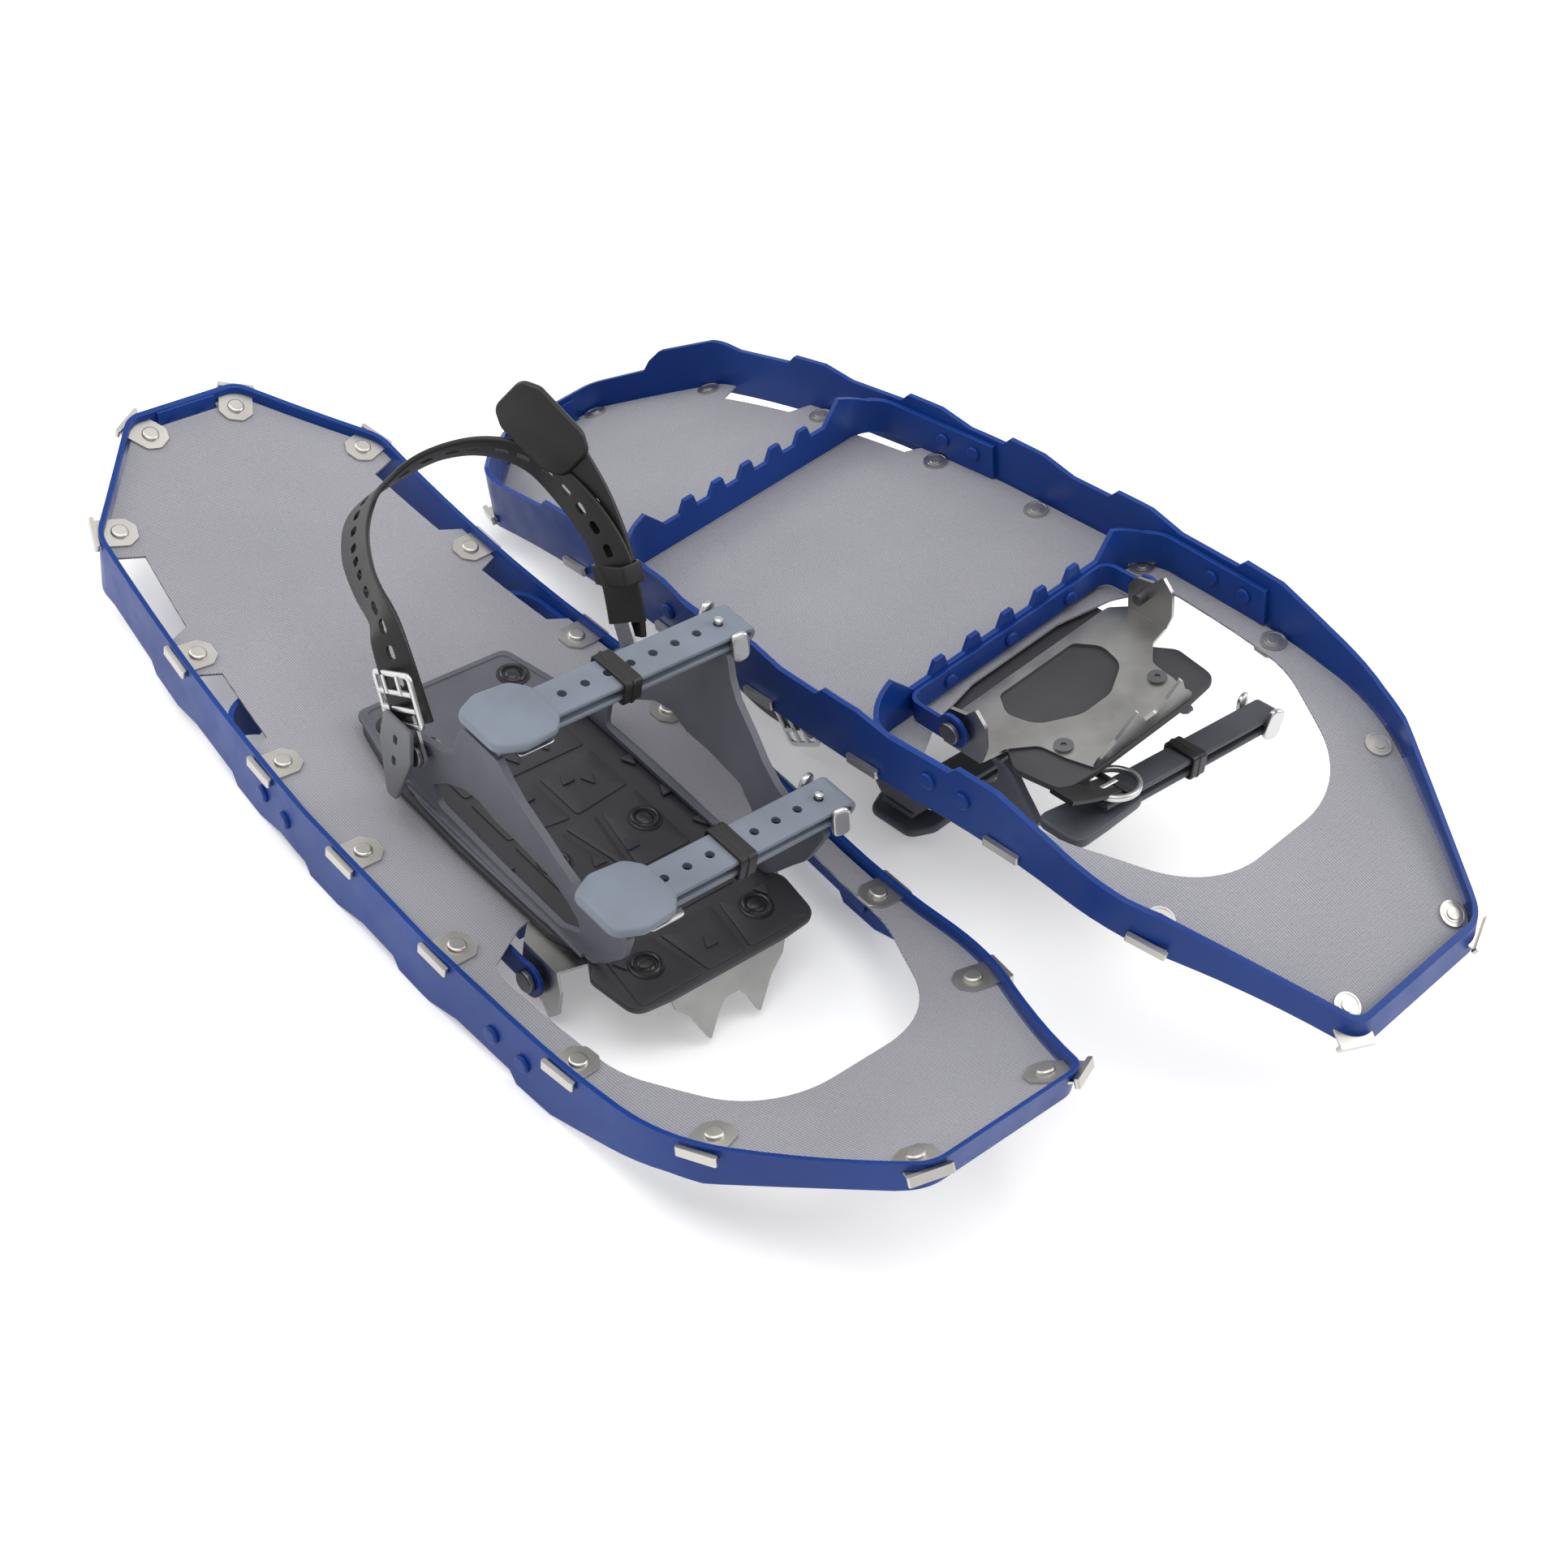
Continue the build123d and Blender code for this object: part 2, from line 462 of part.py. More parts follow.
def make_toe_strap(lie, strap):
    """Rubber strap folded back on itself: a lower ply on the wings, a turn, an upper ply and a paddle."""
    end, t = STRAP_HALF[strap], STRAP_T
    turn_x, turn_z = -end - STRAP_TURN, (t - STRAP_PLY) / 2
    ply = Pos(-STRAP_TURN / 2, t / 2) * Rectangle(2 * end + STRAP_TURN, t)
    turn = Pos(turn_x, turn_z) * (Circle((STRAP_PLY + t) / 2) - Circle((STRAP_PLY - t) / 2))
    turn -= Pos(turn_x + 20, turn_z) * Rectangle(40, 20)
    upper = ply - Pos(PADDLE[1][0] + 100, 0) * Rectangle(200, 20)
    body = extrude(Plane.XZ * (Pos(0, -STRAP_PLY) * ply + upper + turn), STRAP_W / 2, both=True)
    outline = PADDLE + [(px, -py) for px, py in reversed(PADDLE)]
    paddle = prism(soft_poly(outline, [4, 8, 8, 6, 6, 8, 8, 4]), -PADDLE_DROP, PADDLE_T - PADDLE_DROP)
    body += fillet(paddle.edges().group_by(Axis.Z)[-1], 2.0)
    places = [HOOK_WIRE - end + i * STRAP_HOLE_STEP for i in range(9)]
    body -= [Pos(x, 0, t / 2) * Cylinder(STRAP_HOLE_R, t + 2) for x in places if x < 32]
    return strap_place(lie, strap) * body


def make_strap_hooks(lie):
    """Steel frames in the straps' folds, each with a peg in the last hole, and plates at the near ends."""
    made = []
    ring = RectangleRounded(HOOK_LENGTH, HOOK_WIDTH, 6)
    ring -= RectangleRounded(HOOK_LENGTH - 2 * HOOK_WIRE, HOOK_WIDTH - 2 * HOOK_WIRE, 4)
    plate = fillet(Box(20, STRAP_W + 9, HOOK_PLATE_T).edges().filter_by(Axis.Z), 3)
    peg_foot, peg_top = -1.1, STRAP_T + 3.2
    peg = Pos(0, 0, (peg_foot + peg_top) / 2) * Cylinder(1.7, peg_top - peg_foot)
    bar = Box(3.4, HOOK_WIDTH - 2 * HOOK_WIRE + 1, HOOK_WIRE - 0.4)
    frame = extrude(ring, HOOK_WIRE / 2, both=True) + peg + bar
    for strap, end in STRAP_HALF.items():
        place = strap_place(lie, strap)
        made.append(place * Pos(HOOK_WIRE - end, 0, (STRAP_T - STRAP_PLY) / 2) * frame)
        made.append(place * Pos(end - 22, 0, -STRAP_PLY - HOOK_PLATE_T / 2 - 0.2) * plate)
    return made


def make_keeper(lie, strap):
    """Rubber loop that slides along both plies of a toe strap."""
    low, high = -STRAP_PLY - KEEPER_ROOM, STRAP_T + KEEPER_ROOM
    width = STRAP_W + 2 * KEEPER_ROOM
    hole = Rectangle(width, high - low)
    outer = RectangleRounded(width + 2 * KEEPER_T, high - low + 2 * KEEPER_T, 1.6)
    loop = extrude(Plane.YZ * (outer - hole), KEEPER_W / 2, both=True)
    return strap_place(lie, strap) * Pos(KEEPER_X, 0, (low + high) / 2) * loop


def arc_strip(start, middle, end, width):
    """A strip of even width along the arc through three (y, z) points."""
    path = ThreePointArc(start, middle, end)
    centre, radius = path.arc_center, path.radius
    sides = []
    for grow in (width / 2, -width / 2):
        scale = (radius + grow) / radius
        sides.append([centre + (Vector(*p) - centre) * scale for p in (start, middle, end)])
    near, far = sides
    return make_face([ThreePointArc(*near), Line(near[2], far[2]), ThreePointArc(*reversed(far)),
                      Line(far[0], near[0])])


def make_heel_strap(lie):
    """Rubber strap round the heel: a U in plan that arches up from the harness."""
    x, t, back = HEEL_X - 2, HEEL_T, HEEL_BACK - HEEL_Y
    outside = FilletPolyline((x, 20), (x, back), (-x, back), (-x, 20), radius=HEEL_PLAN_R)
    inside = FilletPolyline((x - t, 20), (x - t, back + t), (t - x, back + t), (t - x, 20),
                            radius=HEEL_PLAN_R - t)
    ends = [Line(outside @ 0, inside @ 0), Line(outside @ 1, inside @ 1)]
    wall = prism(make_face([outside, inside] + ends), -60, 120)
    side_view = trace(FilletPolyline(HEEL_ROOT, *lie["strap"], radius=lie["strap_r"]), HEEL_W)
    return wall & extrude(Plane.YZ * side_view, TALL, both=True)


def make_heel_tail(lie):
    """The strap's free end: it leaves the far link outside the strap and ends in a paddle."""
    tail = extrude(Plane.YZ * arc_strip(HEEL_ROOT, *lie["tail"], TAIL_W), TAIL_T / 2, both=True)
    y, z, turn = lie["paddle"]
    end = Pos(y, z) * Rot(0, 0, turn) * RectangleRounded(TAIL_END_L, TAIL_END_W, 9)
    return Pos(-HEEL_X - 0.9, 0, 0) * (tail + extrude(Plane.YZ * end, TAIL_T * 0.75, both=True))


def make_heel_links():
    """Steel loops that swing on the harness rivets and hold the strap's two ends."""
    link = Circle(6.5) + arc_strip((0, 0), (-4.5, 8), LINK_TOP, 13) - Circle(LUG_R + 0.3)
    sheet = extrude(Plane.YZ * link, LINK_T / 2, both=True)
    return [Pos(side * LINK_X, 0, 0) * sheet for side in (1, -1)]


def make_heel_buckle():
    """Ladder buckle on the near end of the heel strap."""
    upper_slot, lower_slot = Pos(0, 7) * Rectangle(22, 7), Pos(0, -5.5) * Rectangle(22, 8)
    frame = Rectangle(BUCKLE_W, BUCKLE_L) - upper_slot - lower_slot
    frame = Pos(-11, 19) * Rot(0, 0, BUCKLE_TURN) * frame
    return Pos(HEEL_X - 0.9, 0, 0) * extrude(Plane.YZ * frame, BUCKLE_T / 2, both=True)


def make_heel_tongue():
    """Pointed pull tongue hanging from the ladder buckle."""
    face = soft_poly(TONGUE, [3, 3, 8, 4, 4, 8])
    return Pos(HEEL_X + 2.2, 0, 0) * extrude(Plane.YZ * face, TONGUE_T / 2, both=True)


def make_heel_keeper(lie):
    """Loop that holds the free end against the heel strap."""
    ring = RectangleRounded(LOOP_HOLE_T + 2 * LOOP_WALL, LOOP_HOLE_W + 2 * LOOP_WALL, 1.5)
    ring -= Rectangle(LOOP_HOLE_T, LOOP_HOLE_W)
    place = Pos(0.9 - HEEL_X, *HEEL_ROOT) * Rot(KEEPER_TURN, 0, 0) * Pos(0, 0, lie["keeper_at"])
    return place * extrude(ring, LOOP_L / 2, both=True)


def make_lug_rivets(height):
    """Rivets through the wings: the heel strap's links turn on them."""
    z = lug_height(height)
    inner = WING_X + (z - BED_TOP - 5) * sin(radians(WING_FLARE)) - WING_T / 2 - 1.5
    seat = LINK_X + LINK_T / 2 + 0.35
    shank = Pos(0, 0, (inner + seat + 0.5) / 2) * Cylinder(LUG_R, seat + 0.5 - inner)
    head = fillet(Cylinder(LUG_HEAD_R, LUG_HEAD_T).edges().group_by(Axis.Z)[-1], 0.9)
    head = Pos(0, 0, seat + LUG_HEAD_T / 2) * head
    rivet = shank + head + Pos(0, 0, inner + 0.6) * Cylinder(5.0, 1.2)
    return [Pos(0, HEEL_Y, z) * Rot(0, side * 90, 0) * rivet for side in (1, -1)]


def lug_height(height):
    return (HEEL_Z - BED_TOP) * height + BED_TOP


def build_shoe(lie):
    """The pieces of a right shoe, in its own frame: those of its frame, and those of its binding."""
    clips, height = stations(), lie["height"]
    frame = {
        "rim": make_rim(clips),
        "rim_splice": make_splice_plate(),
        "rim_splice_rivets": make_splice_rivets(),
        "front_crossbar": make_crossbar(FRONT_BAR, clips),
        "rear_crossbar": make_crossbar(REAR_BAR, clips),
        "crossbar_rivets": make_bar_rivets(),
        "deck": make_deck(clips),
        "deck_clips": make_clips(clips),
        "deck_rivets": make_deck_rivets(clips),
        "deck_washers": make_washers(clips),
        "hinge_bracket": make_bracket(),
        "bracket_rivets": make_bracket_rivets(),
        "pivot_pins": make_pivot_pins(),
    }
    binding = {
        "crampon": make_crampon(),
        "crampon_rivets": make_plate_rivets(),
        "footbed": make_footbed(),
        "footbed_studs": make_studs(),
        "harness": make_harness(lie),
        "front_toe_strap": make_toe_strap(lie, "front"),
        "rear_toe_strap": make_toe_strap(lie, "rear"),
        "toe_strap_hooks": make_strap_hooks(lie),
        "heel_lug_rivets": make_lug_rivets(height),
        "front_keeper": make_keeper(lie, "front"),
        "rear_keeper": make_keeper(lie, "rear"),
    }
    heel = {
        "heel_strap": make_heel_strap(lie),
        "heel_strap_tail": make_heel_tail(lie),
        "heel_links": make_heel_links(),
        "heel_buckle": make_heel_buckle(),
        "heel_tongue": make_heel_tongue(),
        "heel_keeper": make_heel_keeper(lie),
    }
    swung = Pos(0, HEEL_Y, lug_height(height)) * Rot(lie["swing"], 0, 0)
    heel = {name: [swung * solid for solid in solids_of(shape)] for name, shape in heel.items()}
    return frame, {**binding, **heel}


def solids_of(shape):
    """The separate solids of a piece, whether it came as one shape or as a list."""
    items = shape if isinstance(shape, list) else [shape]
    return [solid for item in items for solid in item.solids()]


def lowest_corner(solids):
    boxes = [solid.bounding_box() for solid in solids]
    return Vector(min(b.min.X for b in boxes), min(b.min.Y for b in boxes), min(b.min.Z for b in boxes))


def highest_corner(solids):
    boxes = [solid.bounding_box() for solid in solids]
    return Vector(max(b.max.X for b in boxes), max(b.max.Y for b in boxes), max(b.max.Z for b in boxes))


def report_marks(side, place, lie):
    """Print where a shoe's hinges and axes are in the whole pair."""
    lug = (0, HEEL_Y, lug_height(lie["height"]))
    marks = {"deck": (0, 0, 0), "pivot": (0, PIVOT_Y, PIVOT_Z), "lug": lug}
    for mark, point in marks.items():
        print(side, mark, [round(v, 3) for v in (place * Pos(*point)).position])
    for axis, point in (("+X", (1, 0, 0)), ("+Y", (0, 1, 0)), ("+Z", (0, 0, 1))):
        ahead = (place * Pos(*point)).position - place.position
        print(side, axis, [round(v, 6) for v in ahead])


def main():
    right_place = Pos(0, 0, -FLOOR_Z)
    lean_x, lean_y, lean_z = LEFT_LEAN
    turned = Rot(0, 0, lean_z) * Rot(0, lean_y, 0) * Rot(lean_x, 0, 0) * Rot(0, 180, 0)
    left_place = Pos(*LEFT_PLACE) * Pos(0, 0, -FLOOR_Z) * turned
    pair = {}
    for side, place, lie in (("right", right_place, WORN), ("left", left_place, PRESSED)):
        frame, binding = build_shoe(lie)
        for name, shape in {**frame, **binding}.items():
            solids = solids_of(shape)
            if side == "left" and name in binding:
                solids = [mirror(solid, about=Plane.YZ) for solid in solids]
            pair[f"{side}_{name}"] = [place * solid for solid in solids]
    lift = -min(lowest_corner(solids).Z for name, solids in pair.items() if name.startswith("left_"))
    for name in pair:
        if name.startswith("left_"):
            pair[name] = [Pos(0, 0, lift) * solid for solid in pair[name]]
    everything = [solid for solids in pair.values() for solid in solids]
    low, high = lowest_corner(everything), highest_corner(everything)
    centre = Pos(-(low.X + high.X) / 2, -(low.Y + high.Y) / 2, -low.Z)
    os.makedirs("parts", exist_ok=True)
    for name, solids in pair.items():
        export_step(Compound([centre * solid for solid in solids]), f"parts/{name}.step")
    report_marks("right", centre * right_place, WORN)
    report_marks("left", centre * Pos(0, 0, lift) * left_place, PRESSED)
    print("box", [round(v, 2) for v in high - low])


if __name__ == "__main__":
    main()
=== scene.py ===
"""Looks of a pair of snowshoes: blue toothed frames, grey ribbed decks, steel crampons and rubber bindings.

Lengths are metres. Pieces of one shoe are laid out in that shoe's own frame, in which +Y points to the toe,
+X to the wearer's right and +Z up from the deck, and then placed with the shoe.
"""
import json
from math import atan2, copysign, cos, hypot, pi, radians, sin

import bmesh
import bpy
from mathutils import Matrix, Vector


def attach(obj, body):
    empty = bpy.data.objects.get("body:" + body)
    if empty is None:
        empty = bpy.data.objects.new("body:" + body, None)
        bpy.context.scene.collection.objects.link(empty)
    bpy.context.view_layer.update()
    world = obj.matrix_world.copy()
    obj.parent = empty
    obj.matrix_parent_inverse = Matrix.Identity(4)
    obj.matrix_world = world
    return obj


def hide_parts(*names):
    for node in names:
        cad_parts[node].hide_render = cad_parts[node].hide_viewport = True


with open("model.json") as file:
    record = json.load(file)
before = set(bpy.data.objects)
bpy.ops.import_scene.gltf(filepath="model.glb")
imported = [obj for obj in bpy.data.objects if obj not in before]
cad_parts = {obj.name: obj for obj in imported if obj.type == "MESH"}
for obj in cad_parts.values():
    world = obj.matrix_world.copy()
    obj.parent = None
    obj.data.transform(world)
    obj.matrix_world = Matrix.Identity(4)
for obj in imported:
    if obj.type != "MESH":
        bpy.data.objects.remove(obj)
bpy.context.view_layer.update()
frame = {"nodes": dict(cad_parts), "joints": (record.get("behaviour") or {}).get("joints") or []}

MM = 0.001
PIVOT_Y, PIVOT_Z = 92 * MM, -12 * MM
LUG_Y = -6 * MM
BED_TOP = 7.05 * MM

RIB_PITCH, WEAVE_PITCH = 0.00125, 0.0016
PEBBLE_HEIGHT = 0.00005
BEVEL_SAMPLES = 6
# Angles in degrees above which an edge is drawn hard.
CAD_SHARP, PIECE_SHARP, WING_SHARP, SOFT_SHARP = 32, 38, 45, 50

# How each binding lies: lug height, harness height ratio, seats of the wings' arms, toe straps and heel.
WORN = {
    "lug_z": 47 * MM, "height": 1.0, "mirror": 1, "swing": 0,
    "arms": ((44, 92.5), (130, 53)),
    "straps": {"rear": (0, 44, 99, 0), "front": (0, 130, 60, 0)},
}
PRESSED = {
    "lug_z": 39.01 * MM, "height": 0.8, "mirror": -1, "swing": radians(30),
    "arms": ((44, 69.5), (121, 37)),
    "straps": {"rear": (0, 44, 84, 7), "front": (-15, 155, 29, 11)},
}
LIES = {"right": WORN, "left": PRESSED}


# Where each shoe is

def shoe_place(side):
    """The shoe's own frame, from the places and axis of its binding's two hinges."""
    joints = {j["name"]: j for j in frame["joints"]}
    pivot = Vector(joints[f"{side}_binding_pivot"]["pos_m"])
    heel = joints[f"{side}_heel_swing"]
    lug_z = LIES[side]["lug_z"]
    x_axis = Vector(heel["axis"]).normalized()
    span = (pivot - Vector(heel["pos_m"])).normalized()
    rise = atan2(PIVOT_Z - lug_z, PIVOT_Y - LUG_Y)
    y_axis = (cos(rise) * span - sin(rise) * x_axis.cross(span)).normalized()
    z_axis = x_axis.cross(y_axis)
    origin = pivot - PIVOT_Y * y_axis - PIVOT_Z * z_axis
    place = Matrix((x_axis, y_axis, z_axis)).transposed().to_4x4()
    place.translation = origin
    return place


PLACES = {side: shoe_place(side) for side in LIES}


# Materials

class Shader:
    """A node material and short ways to add to it."""

    def __init__(self, name, roughness=0.5, metallic=0.0, **inputs):
        self.material = bpy.data.materials.new(name)
        self.material.use_nodes = True
        self.tree = self.material.node_tree
        self.bsdf = self.tree.nodes["Principled BSDF"]
        self.bsdf.inputs["Roughness"].default_value = roughness
        self.bsdf.inputs["Metallic"].default_value = metallic
        for key, value in inputs.items():
            self.bsdf.inputs[key.replace("_", " ")].default_value = value
        self.coords = self.tree.nodes.new("ShaderNodeTexCoord").outputs["Object"]

    def add(self, kind, links=None, **settings):
        node = self.tree.nodes.new(kind)
        for key, value in settings.items():
            setattr(node, key, value)
        for key, value in (links or {}).items():
            if isinstance(value, bpy.types.NodeSocket):
                self.tree.links.new(value, node.inputs[key])
            else:
                node.inputs[key].default_value = value
        return node

    def link(self, output, key):
        self.tree.links.new(output, self.bsdf.inputs[key])

    def noise(self, scale, detail=3.0, roughness=0.5):
        node = self.add("ShaderNodeTexNoise", {"Vector": self.coords, "Scale": scale,
                                               "Detail": detail, "Roughness": roughness})
        return node.outputs["Fac"]

    def ramp(self, factor, stops):
        node = self.add("ShaderNodeValToRGB", {"Fac": factor})
        ramp = node.color_ramp
        while len(ramp.elements) < len(stops):
            ramp.elements.new(0.5)
        for element, (place, colour) in zip(ramp.elements, stops):
            element.position = place
            element.color = (*colour, 1.0)
        return node.outputs["Color"]

    def span(self, factor, low, high, to_low=0.0, to_high=1.0):
        node = self.add("ShaderNodeMapRange", {"Value": factor, "From Min": low, "From Max": high,
                                               "To Min": to_low, "To Max": to_high})
        return node.outputs["Result"]

    def math(self, operation, a, b=0.0):
        return self.add("ShaderNodeMath", {0: a, 1: b}, operation=operation).outputs[0]

    def mix(self, factor, a, b):
        node = self.add("ShaderNodeMix", data_type="RGBA")
        for index, value in ((0, factor), (6, a), (7, b)):
            if isinstance(value, bpy.types.NodeSocket):
                self.tree.links.new(value, node.inputs[index])
            else:
                node.inputs[index].default_value = value if index == 0 else (*value, 1.0)
        return node.outputs[2]

    def along(self, axis):
        """Distance along an axis of the row frame."""
        node = self.add("ShaderNodeVectorMath", {0: self.coords, 1: tuple(axis)}, operation="DOT_PRODUCT")
        return node.outputs["Value"]

    def edge(self, radius):
        """1 on sharp outer and inner edges, 0 on flat faces."""
        soft = self.add("ShaderNodeBevel", {"Radius": radius}, samples=BEVEL_SAMPLES).outputs["Normal"]
        plain = self.add("ShaderNodeNewGeometry").outputs["Normal"]
        dot = self.add("ShaderNodeVectorMath", {0: soft, 1: plain}, operation="DOT_PRODUCT")
        return self.span(dot.outputs["Value"], 0.995, 0.86)

    def bump(self, height, distance, strength=1.0, radius=None):
        links = {"Height": height, "Distance": distance, "Strength": strength}
        if radius:
            bevel = self.add("ShaderNodeBevel", {"Radius": radius}, samples=BEVEL_SAMPLES)
            links["Normal"] = bevel.outputs["Normal"]
        self.link(self.add("ShaderNodeBump", links).outputs["Normal"], "Normal")


def blue_frame():
    """Gloss blue coat on sheet metal, with painted highlights in patches along its edges."""
    s = Shader("blue_frame", roughness=0.36, Specular_IOR_Level=0.22)
    flow = s.noise(9.0, 2.0)
    coat = s.ramp(flow, [(0.3, (0.004, 0.027, 0.165)), (0.7, (0.006, 0.042, 0.225))])
    # Lighter blue mixed in along the edges in patches: painted highlight.
    lighter_edges = s.math("MULTIPLY", s.edge(0.001), s.span(s.noise(160.0), 0.3, 0.7, 0.2, 0.65))
    s.link(s.mix(lighter_edges, coat, (0.035, 0.10, 0.40)), "Base Color")
    s.link(s.span(s.noise(60.0, 4.0), 0.3, 0.7, 0.28, 0.42), "Roughness")
    s.bump(s.noise(900.0, 2.0), 0.00004, 0.25, radius=0.0006)
    return s.material


def deck_cloth(side):
    """Coated cloth with fine lengthwise ribs and a faint weave across them."""
    s = Shader(f"deck_cloth_{side}", roughness=0.62, Specular_IOR_Level=0.35)
    place = PLACES[side]
    across, length = s.along(place.col[0].xyz), s.along(place.col[1].xyz)
    rib = s.math("SINE", s.math("MULTIPLY", across, 2 * pi / RIB_PITCH))
    pick = s.math("SINE", s.math("MULTIPLY", length, 2 * pi / WEAVE_PITCH))
    rib01 = s.span(rib, -1.0, 1.0)
    pick01 = s.span(pick, -1.0, 1.0)
    weave = s.math("MULTIPLY", rib01, s.span(pick01, 0.0, 1.0, 0.75, 1.0))
    patches = s.noise(7.0, 3.0)
    grain = s.noise(1400.0, 2.0)
    dark = s.ramp(patches, [(0.3, (0.150, 0.150, 0.172)), (0.7, (0.185, 0.184, 0.208))])
    light = s.ramp(patches, [(0.3, (0.335, 0.332, 0.362)), (0.7, (0.400, 0.396, 0.428))])
    tone = s.math("ADD", s.math("MULTIPLY", weave, 0.75), s.span(grain, 0.2, 0.8, -0.1, 0.35))
    s.link(s.mix(tone, dark, light), "Base Color")
    s.link(s.span(patches, 0.2, 0.8, 0.55, 0.72), "Roughness")
    s.bump(weave, 0.00018, 0.55)
    return s.material


def steel(name, colour, roughness, stains=0.12):
    """Rolled or pressed steel: fine grain, cloudy sheen and bright edges."""
    s = Shader(name, roughness=roughness, metallic=1.0)
    cloud = s.noise(35.0, 4.0)
    fine = s.noise(900.0, 2.0)
    dull = tuple(c * (1 - stains) for c in colour)
    bright = tuple(min(1.0, c * 1.12) for c in colour)
    base = s.ramp(cloud, [(0.3, dull), (0.7, colour)])
    s.link(s.mix(s.edge(0.0007), base, bright), "Base Color")
    s.link(s.span(cloud, 0.25, 0.75, roughness * 0.8, min(1.0, roughness * 1.3)), "Roughness")
    s.bump(fine, 0.00002, 0.2)
    return s.material


def rubber(name, colour, roughness):
    """Moulded rubber: pebbled skin, slightly cloudy and paler in patches along its edges."""
    s = Shader(name, roughness=roughness, Specular_IOR_Level=0.42)
    cloud = s.noise(22.0, 4.0, 0.6)
    low = tuple(c * 0.86 for c in colour)
    high = tuple(min(1.0, c * 1.16) for c in colour)
    base = s.ramp(cloud, [(0.3, low), (0.72, high)])
    # Paler tone mixed in along the edges, in patches.
    paler_edge_tone = tuple(min(1.0, c * 1.5 + 0.012) for c in colour)
    lighter_edges = s.math("MULTIPLY", s.edge(0.0009), s.span(s.noise(120.0), 0.3, 0.7, 0.15, 0.6))
    s.link(s.mix(lighter_edges, base, paler_edge_tone), "Base Color")
    s.link(s.span(cloud, 0.2, 0.8, roughness * 0.88, roughness * 1.15), "Roughness")
    s.bump(s.noise(1500.0, 2.0), PEBBLE_HEIGHT, 0.5)
    return s.material


BLUE = blue_frame()
CLIP_STEEL = steel("clip_steel", (0.58, 0.56, 0.52), 0.36)
CRAMPON_STEEL = steel("crampon_steel", (0.40, 0.395, 0.385), 0.34, stains=0.3)
BRIGHT_STEEL = steel("bright_steel", (0.60, 0.60, 0.59), 0.28)
DARK_STEEL = steel("dark_steel", (0.17, 0.17, 0.18), 0.38)
BED = rubber("footbed_rubber", (0.030, 0.030, 0.034), 0.5)
HARNESS = rubber("harness_rubber", (0.085, 0.088, 0.108), 0.5)
STRAP = rubber("strap_rubber", (0.150, 0.176, 0.214), 0.46)
# A darker copy of the strap rubber: painted shade on the left shoe's straps.
SHADED_STRAP = rubber("strap_rubber_painted_shade", (0.050, 0.055, 0.066), 0.5)
STUD = rubber("stud_rubber", (0.016, 0.016, 0.018), 0.28)
HEEL = rubber("heel_rubber", (0.011, 0.010, 0.0095), 0.4)
TONGUE = rubber("tongue_rubber", (0.120, 0.122, 0.132), 0.4)

CAD_LOOKS = {
    "rim": BLUE, "rim_splice": BLUE, "rim_splice_rivets": BLUE, "front_crossbar": BLUE,
    "rear_crossbar": BLUE, "crossbar_rivets": BLUE, "hinge_bracket": BLUE, "bracket_rivets": BLUE,
    "deck_clips": CLIP_STEEL,
    "deck_rivets": CLIP_STEEL, "deck_washers": CLIP_STEEL, "pivot_pins": DARK_STEEL,
    "crampon": CRAMPON_STEEL, "crampon_rivets": DARK_STEEL, "heel_lug_rivets": DARK_STEEL,
    "heel_links": BRIGHT_STEEL,
}


def dress_cad():
    """Give the CAD nodes that stay visible their materials."""
    for side in LIES:
        looks = dict(CAD_LOOKS, deck=deck_cloth(side))
        for node, material in looks.items():
            data = frame["nodes"][f"{side}_{node}"].data
            data.materials.clear()
            data.materials.append(material)
            data.set_sharp_from_angle(angle=radians(CAD_SHARP))


# Shapes

def rounded(points, radius, step=0.0015):
    """A closed outline of straight sides with rounded corners. radius is one value or one per corner."""
    count = len(points)
    radii = radius if isinstance(radius, (list, tuple)) else [radius] * count
    outline = []
    for i, corner in enumerate(points):
        here = Vector(corner)
        back, ahead = Vector(points[i - 1]) - here, Vector(points[(i + 1) % count]) - here
        turn = pi - back.angle(ahead)
        reach = radii[i] * sin(turn / 2) / max(cos(turn / 2), 1e-6)
        reach = min(reach, back.length * 0.49, ahead.length * 0.49)
        start, end = here + back.normalized() * reach, here + ahead.normalized() * reach
        steps = max(2, int(turn * max(reach, 0.001) / step) + 2)
        for k in range(steps + 1):
            t = k / steps
            outline.append(start.lerp(here, t).lerp(here.lerp(end, t), t))
    return outline


def smooth(points, per_span=8):
    """A smooth open line through the points."""
    last = len(points) - 1
    line = []
    for i in range(last):
        a, b, c, d = (points[min(max(k, 0), last)] for k in (i - 1, i, i + 1, i + 2))
        for k in range(per_span):
            t = k / per_span
            line.append(0.5 * (2 * b + (c - a) * t + (2 * a - 5 * b + 4 * c - d) * t ** 2
                               + (3 * b - a - 3 * c + d) * t ** 3))
    line.append(points[-1].copy())
    return line


def new_piece(name, verts, faces, material, sharp=PIECE_SHARP):
    """A mesh object. Edges sharper than the angle, in degrees, are drawn hard."""
    mesh = bpy.data.meshes.new(name)
    mesh.from_pydata([tuple(v) for v in verts], [], faces)
    mesh.validate()
    bm = bmesh.new()
    bm.from_mesh(mesh)
    bmesh.ops.recalc_face_normals(bm, faces=bm.faces)
    bm.to_mesh(mesh)
    bm.free()
    mesh.materials.append(material)
    mesh.polygons.foreach_set("use_smooth", [True] * len(mesh.polygons))
    mesh.set_sharp_from_angle(angle=radians(sharp))
    obj = bpy.data.objects.new(name, mesh)
    bpy.context.scene.collection.objects.link(obj)
    return obj


def rounded_section(width, thick, corner):
    """A flat strip's section: (across, through) points round a rectangle with rounded corners."""
    half_w, half_t = width / 2, thick / 2
    box = [(half_w, half_t), (-half_w, half_t), (-half_w, -half_t), (half_w, -half_t)]
    return rounded(box, corner, step=corner / 1.5)


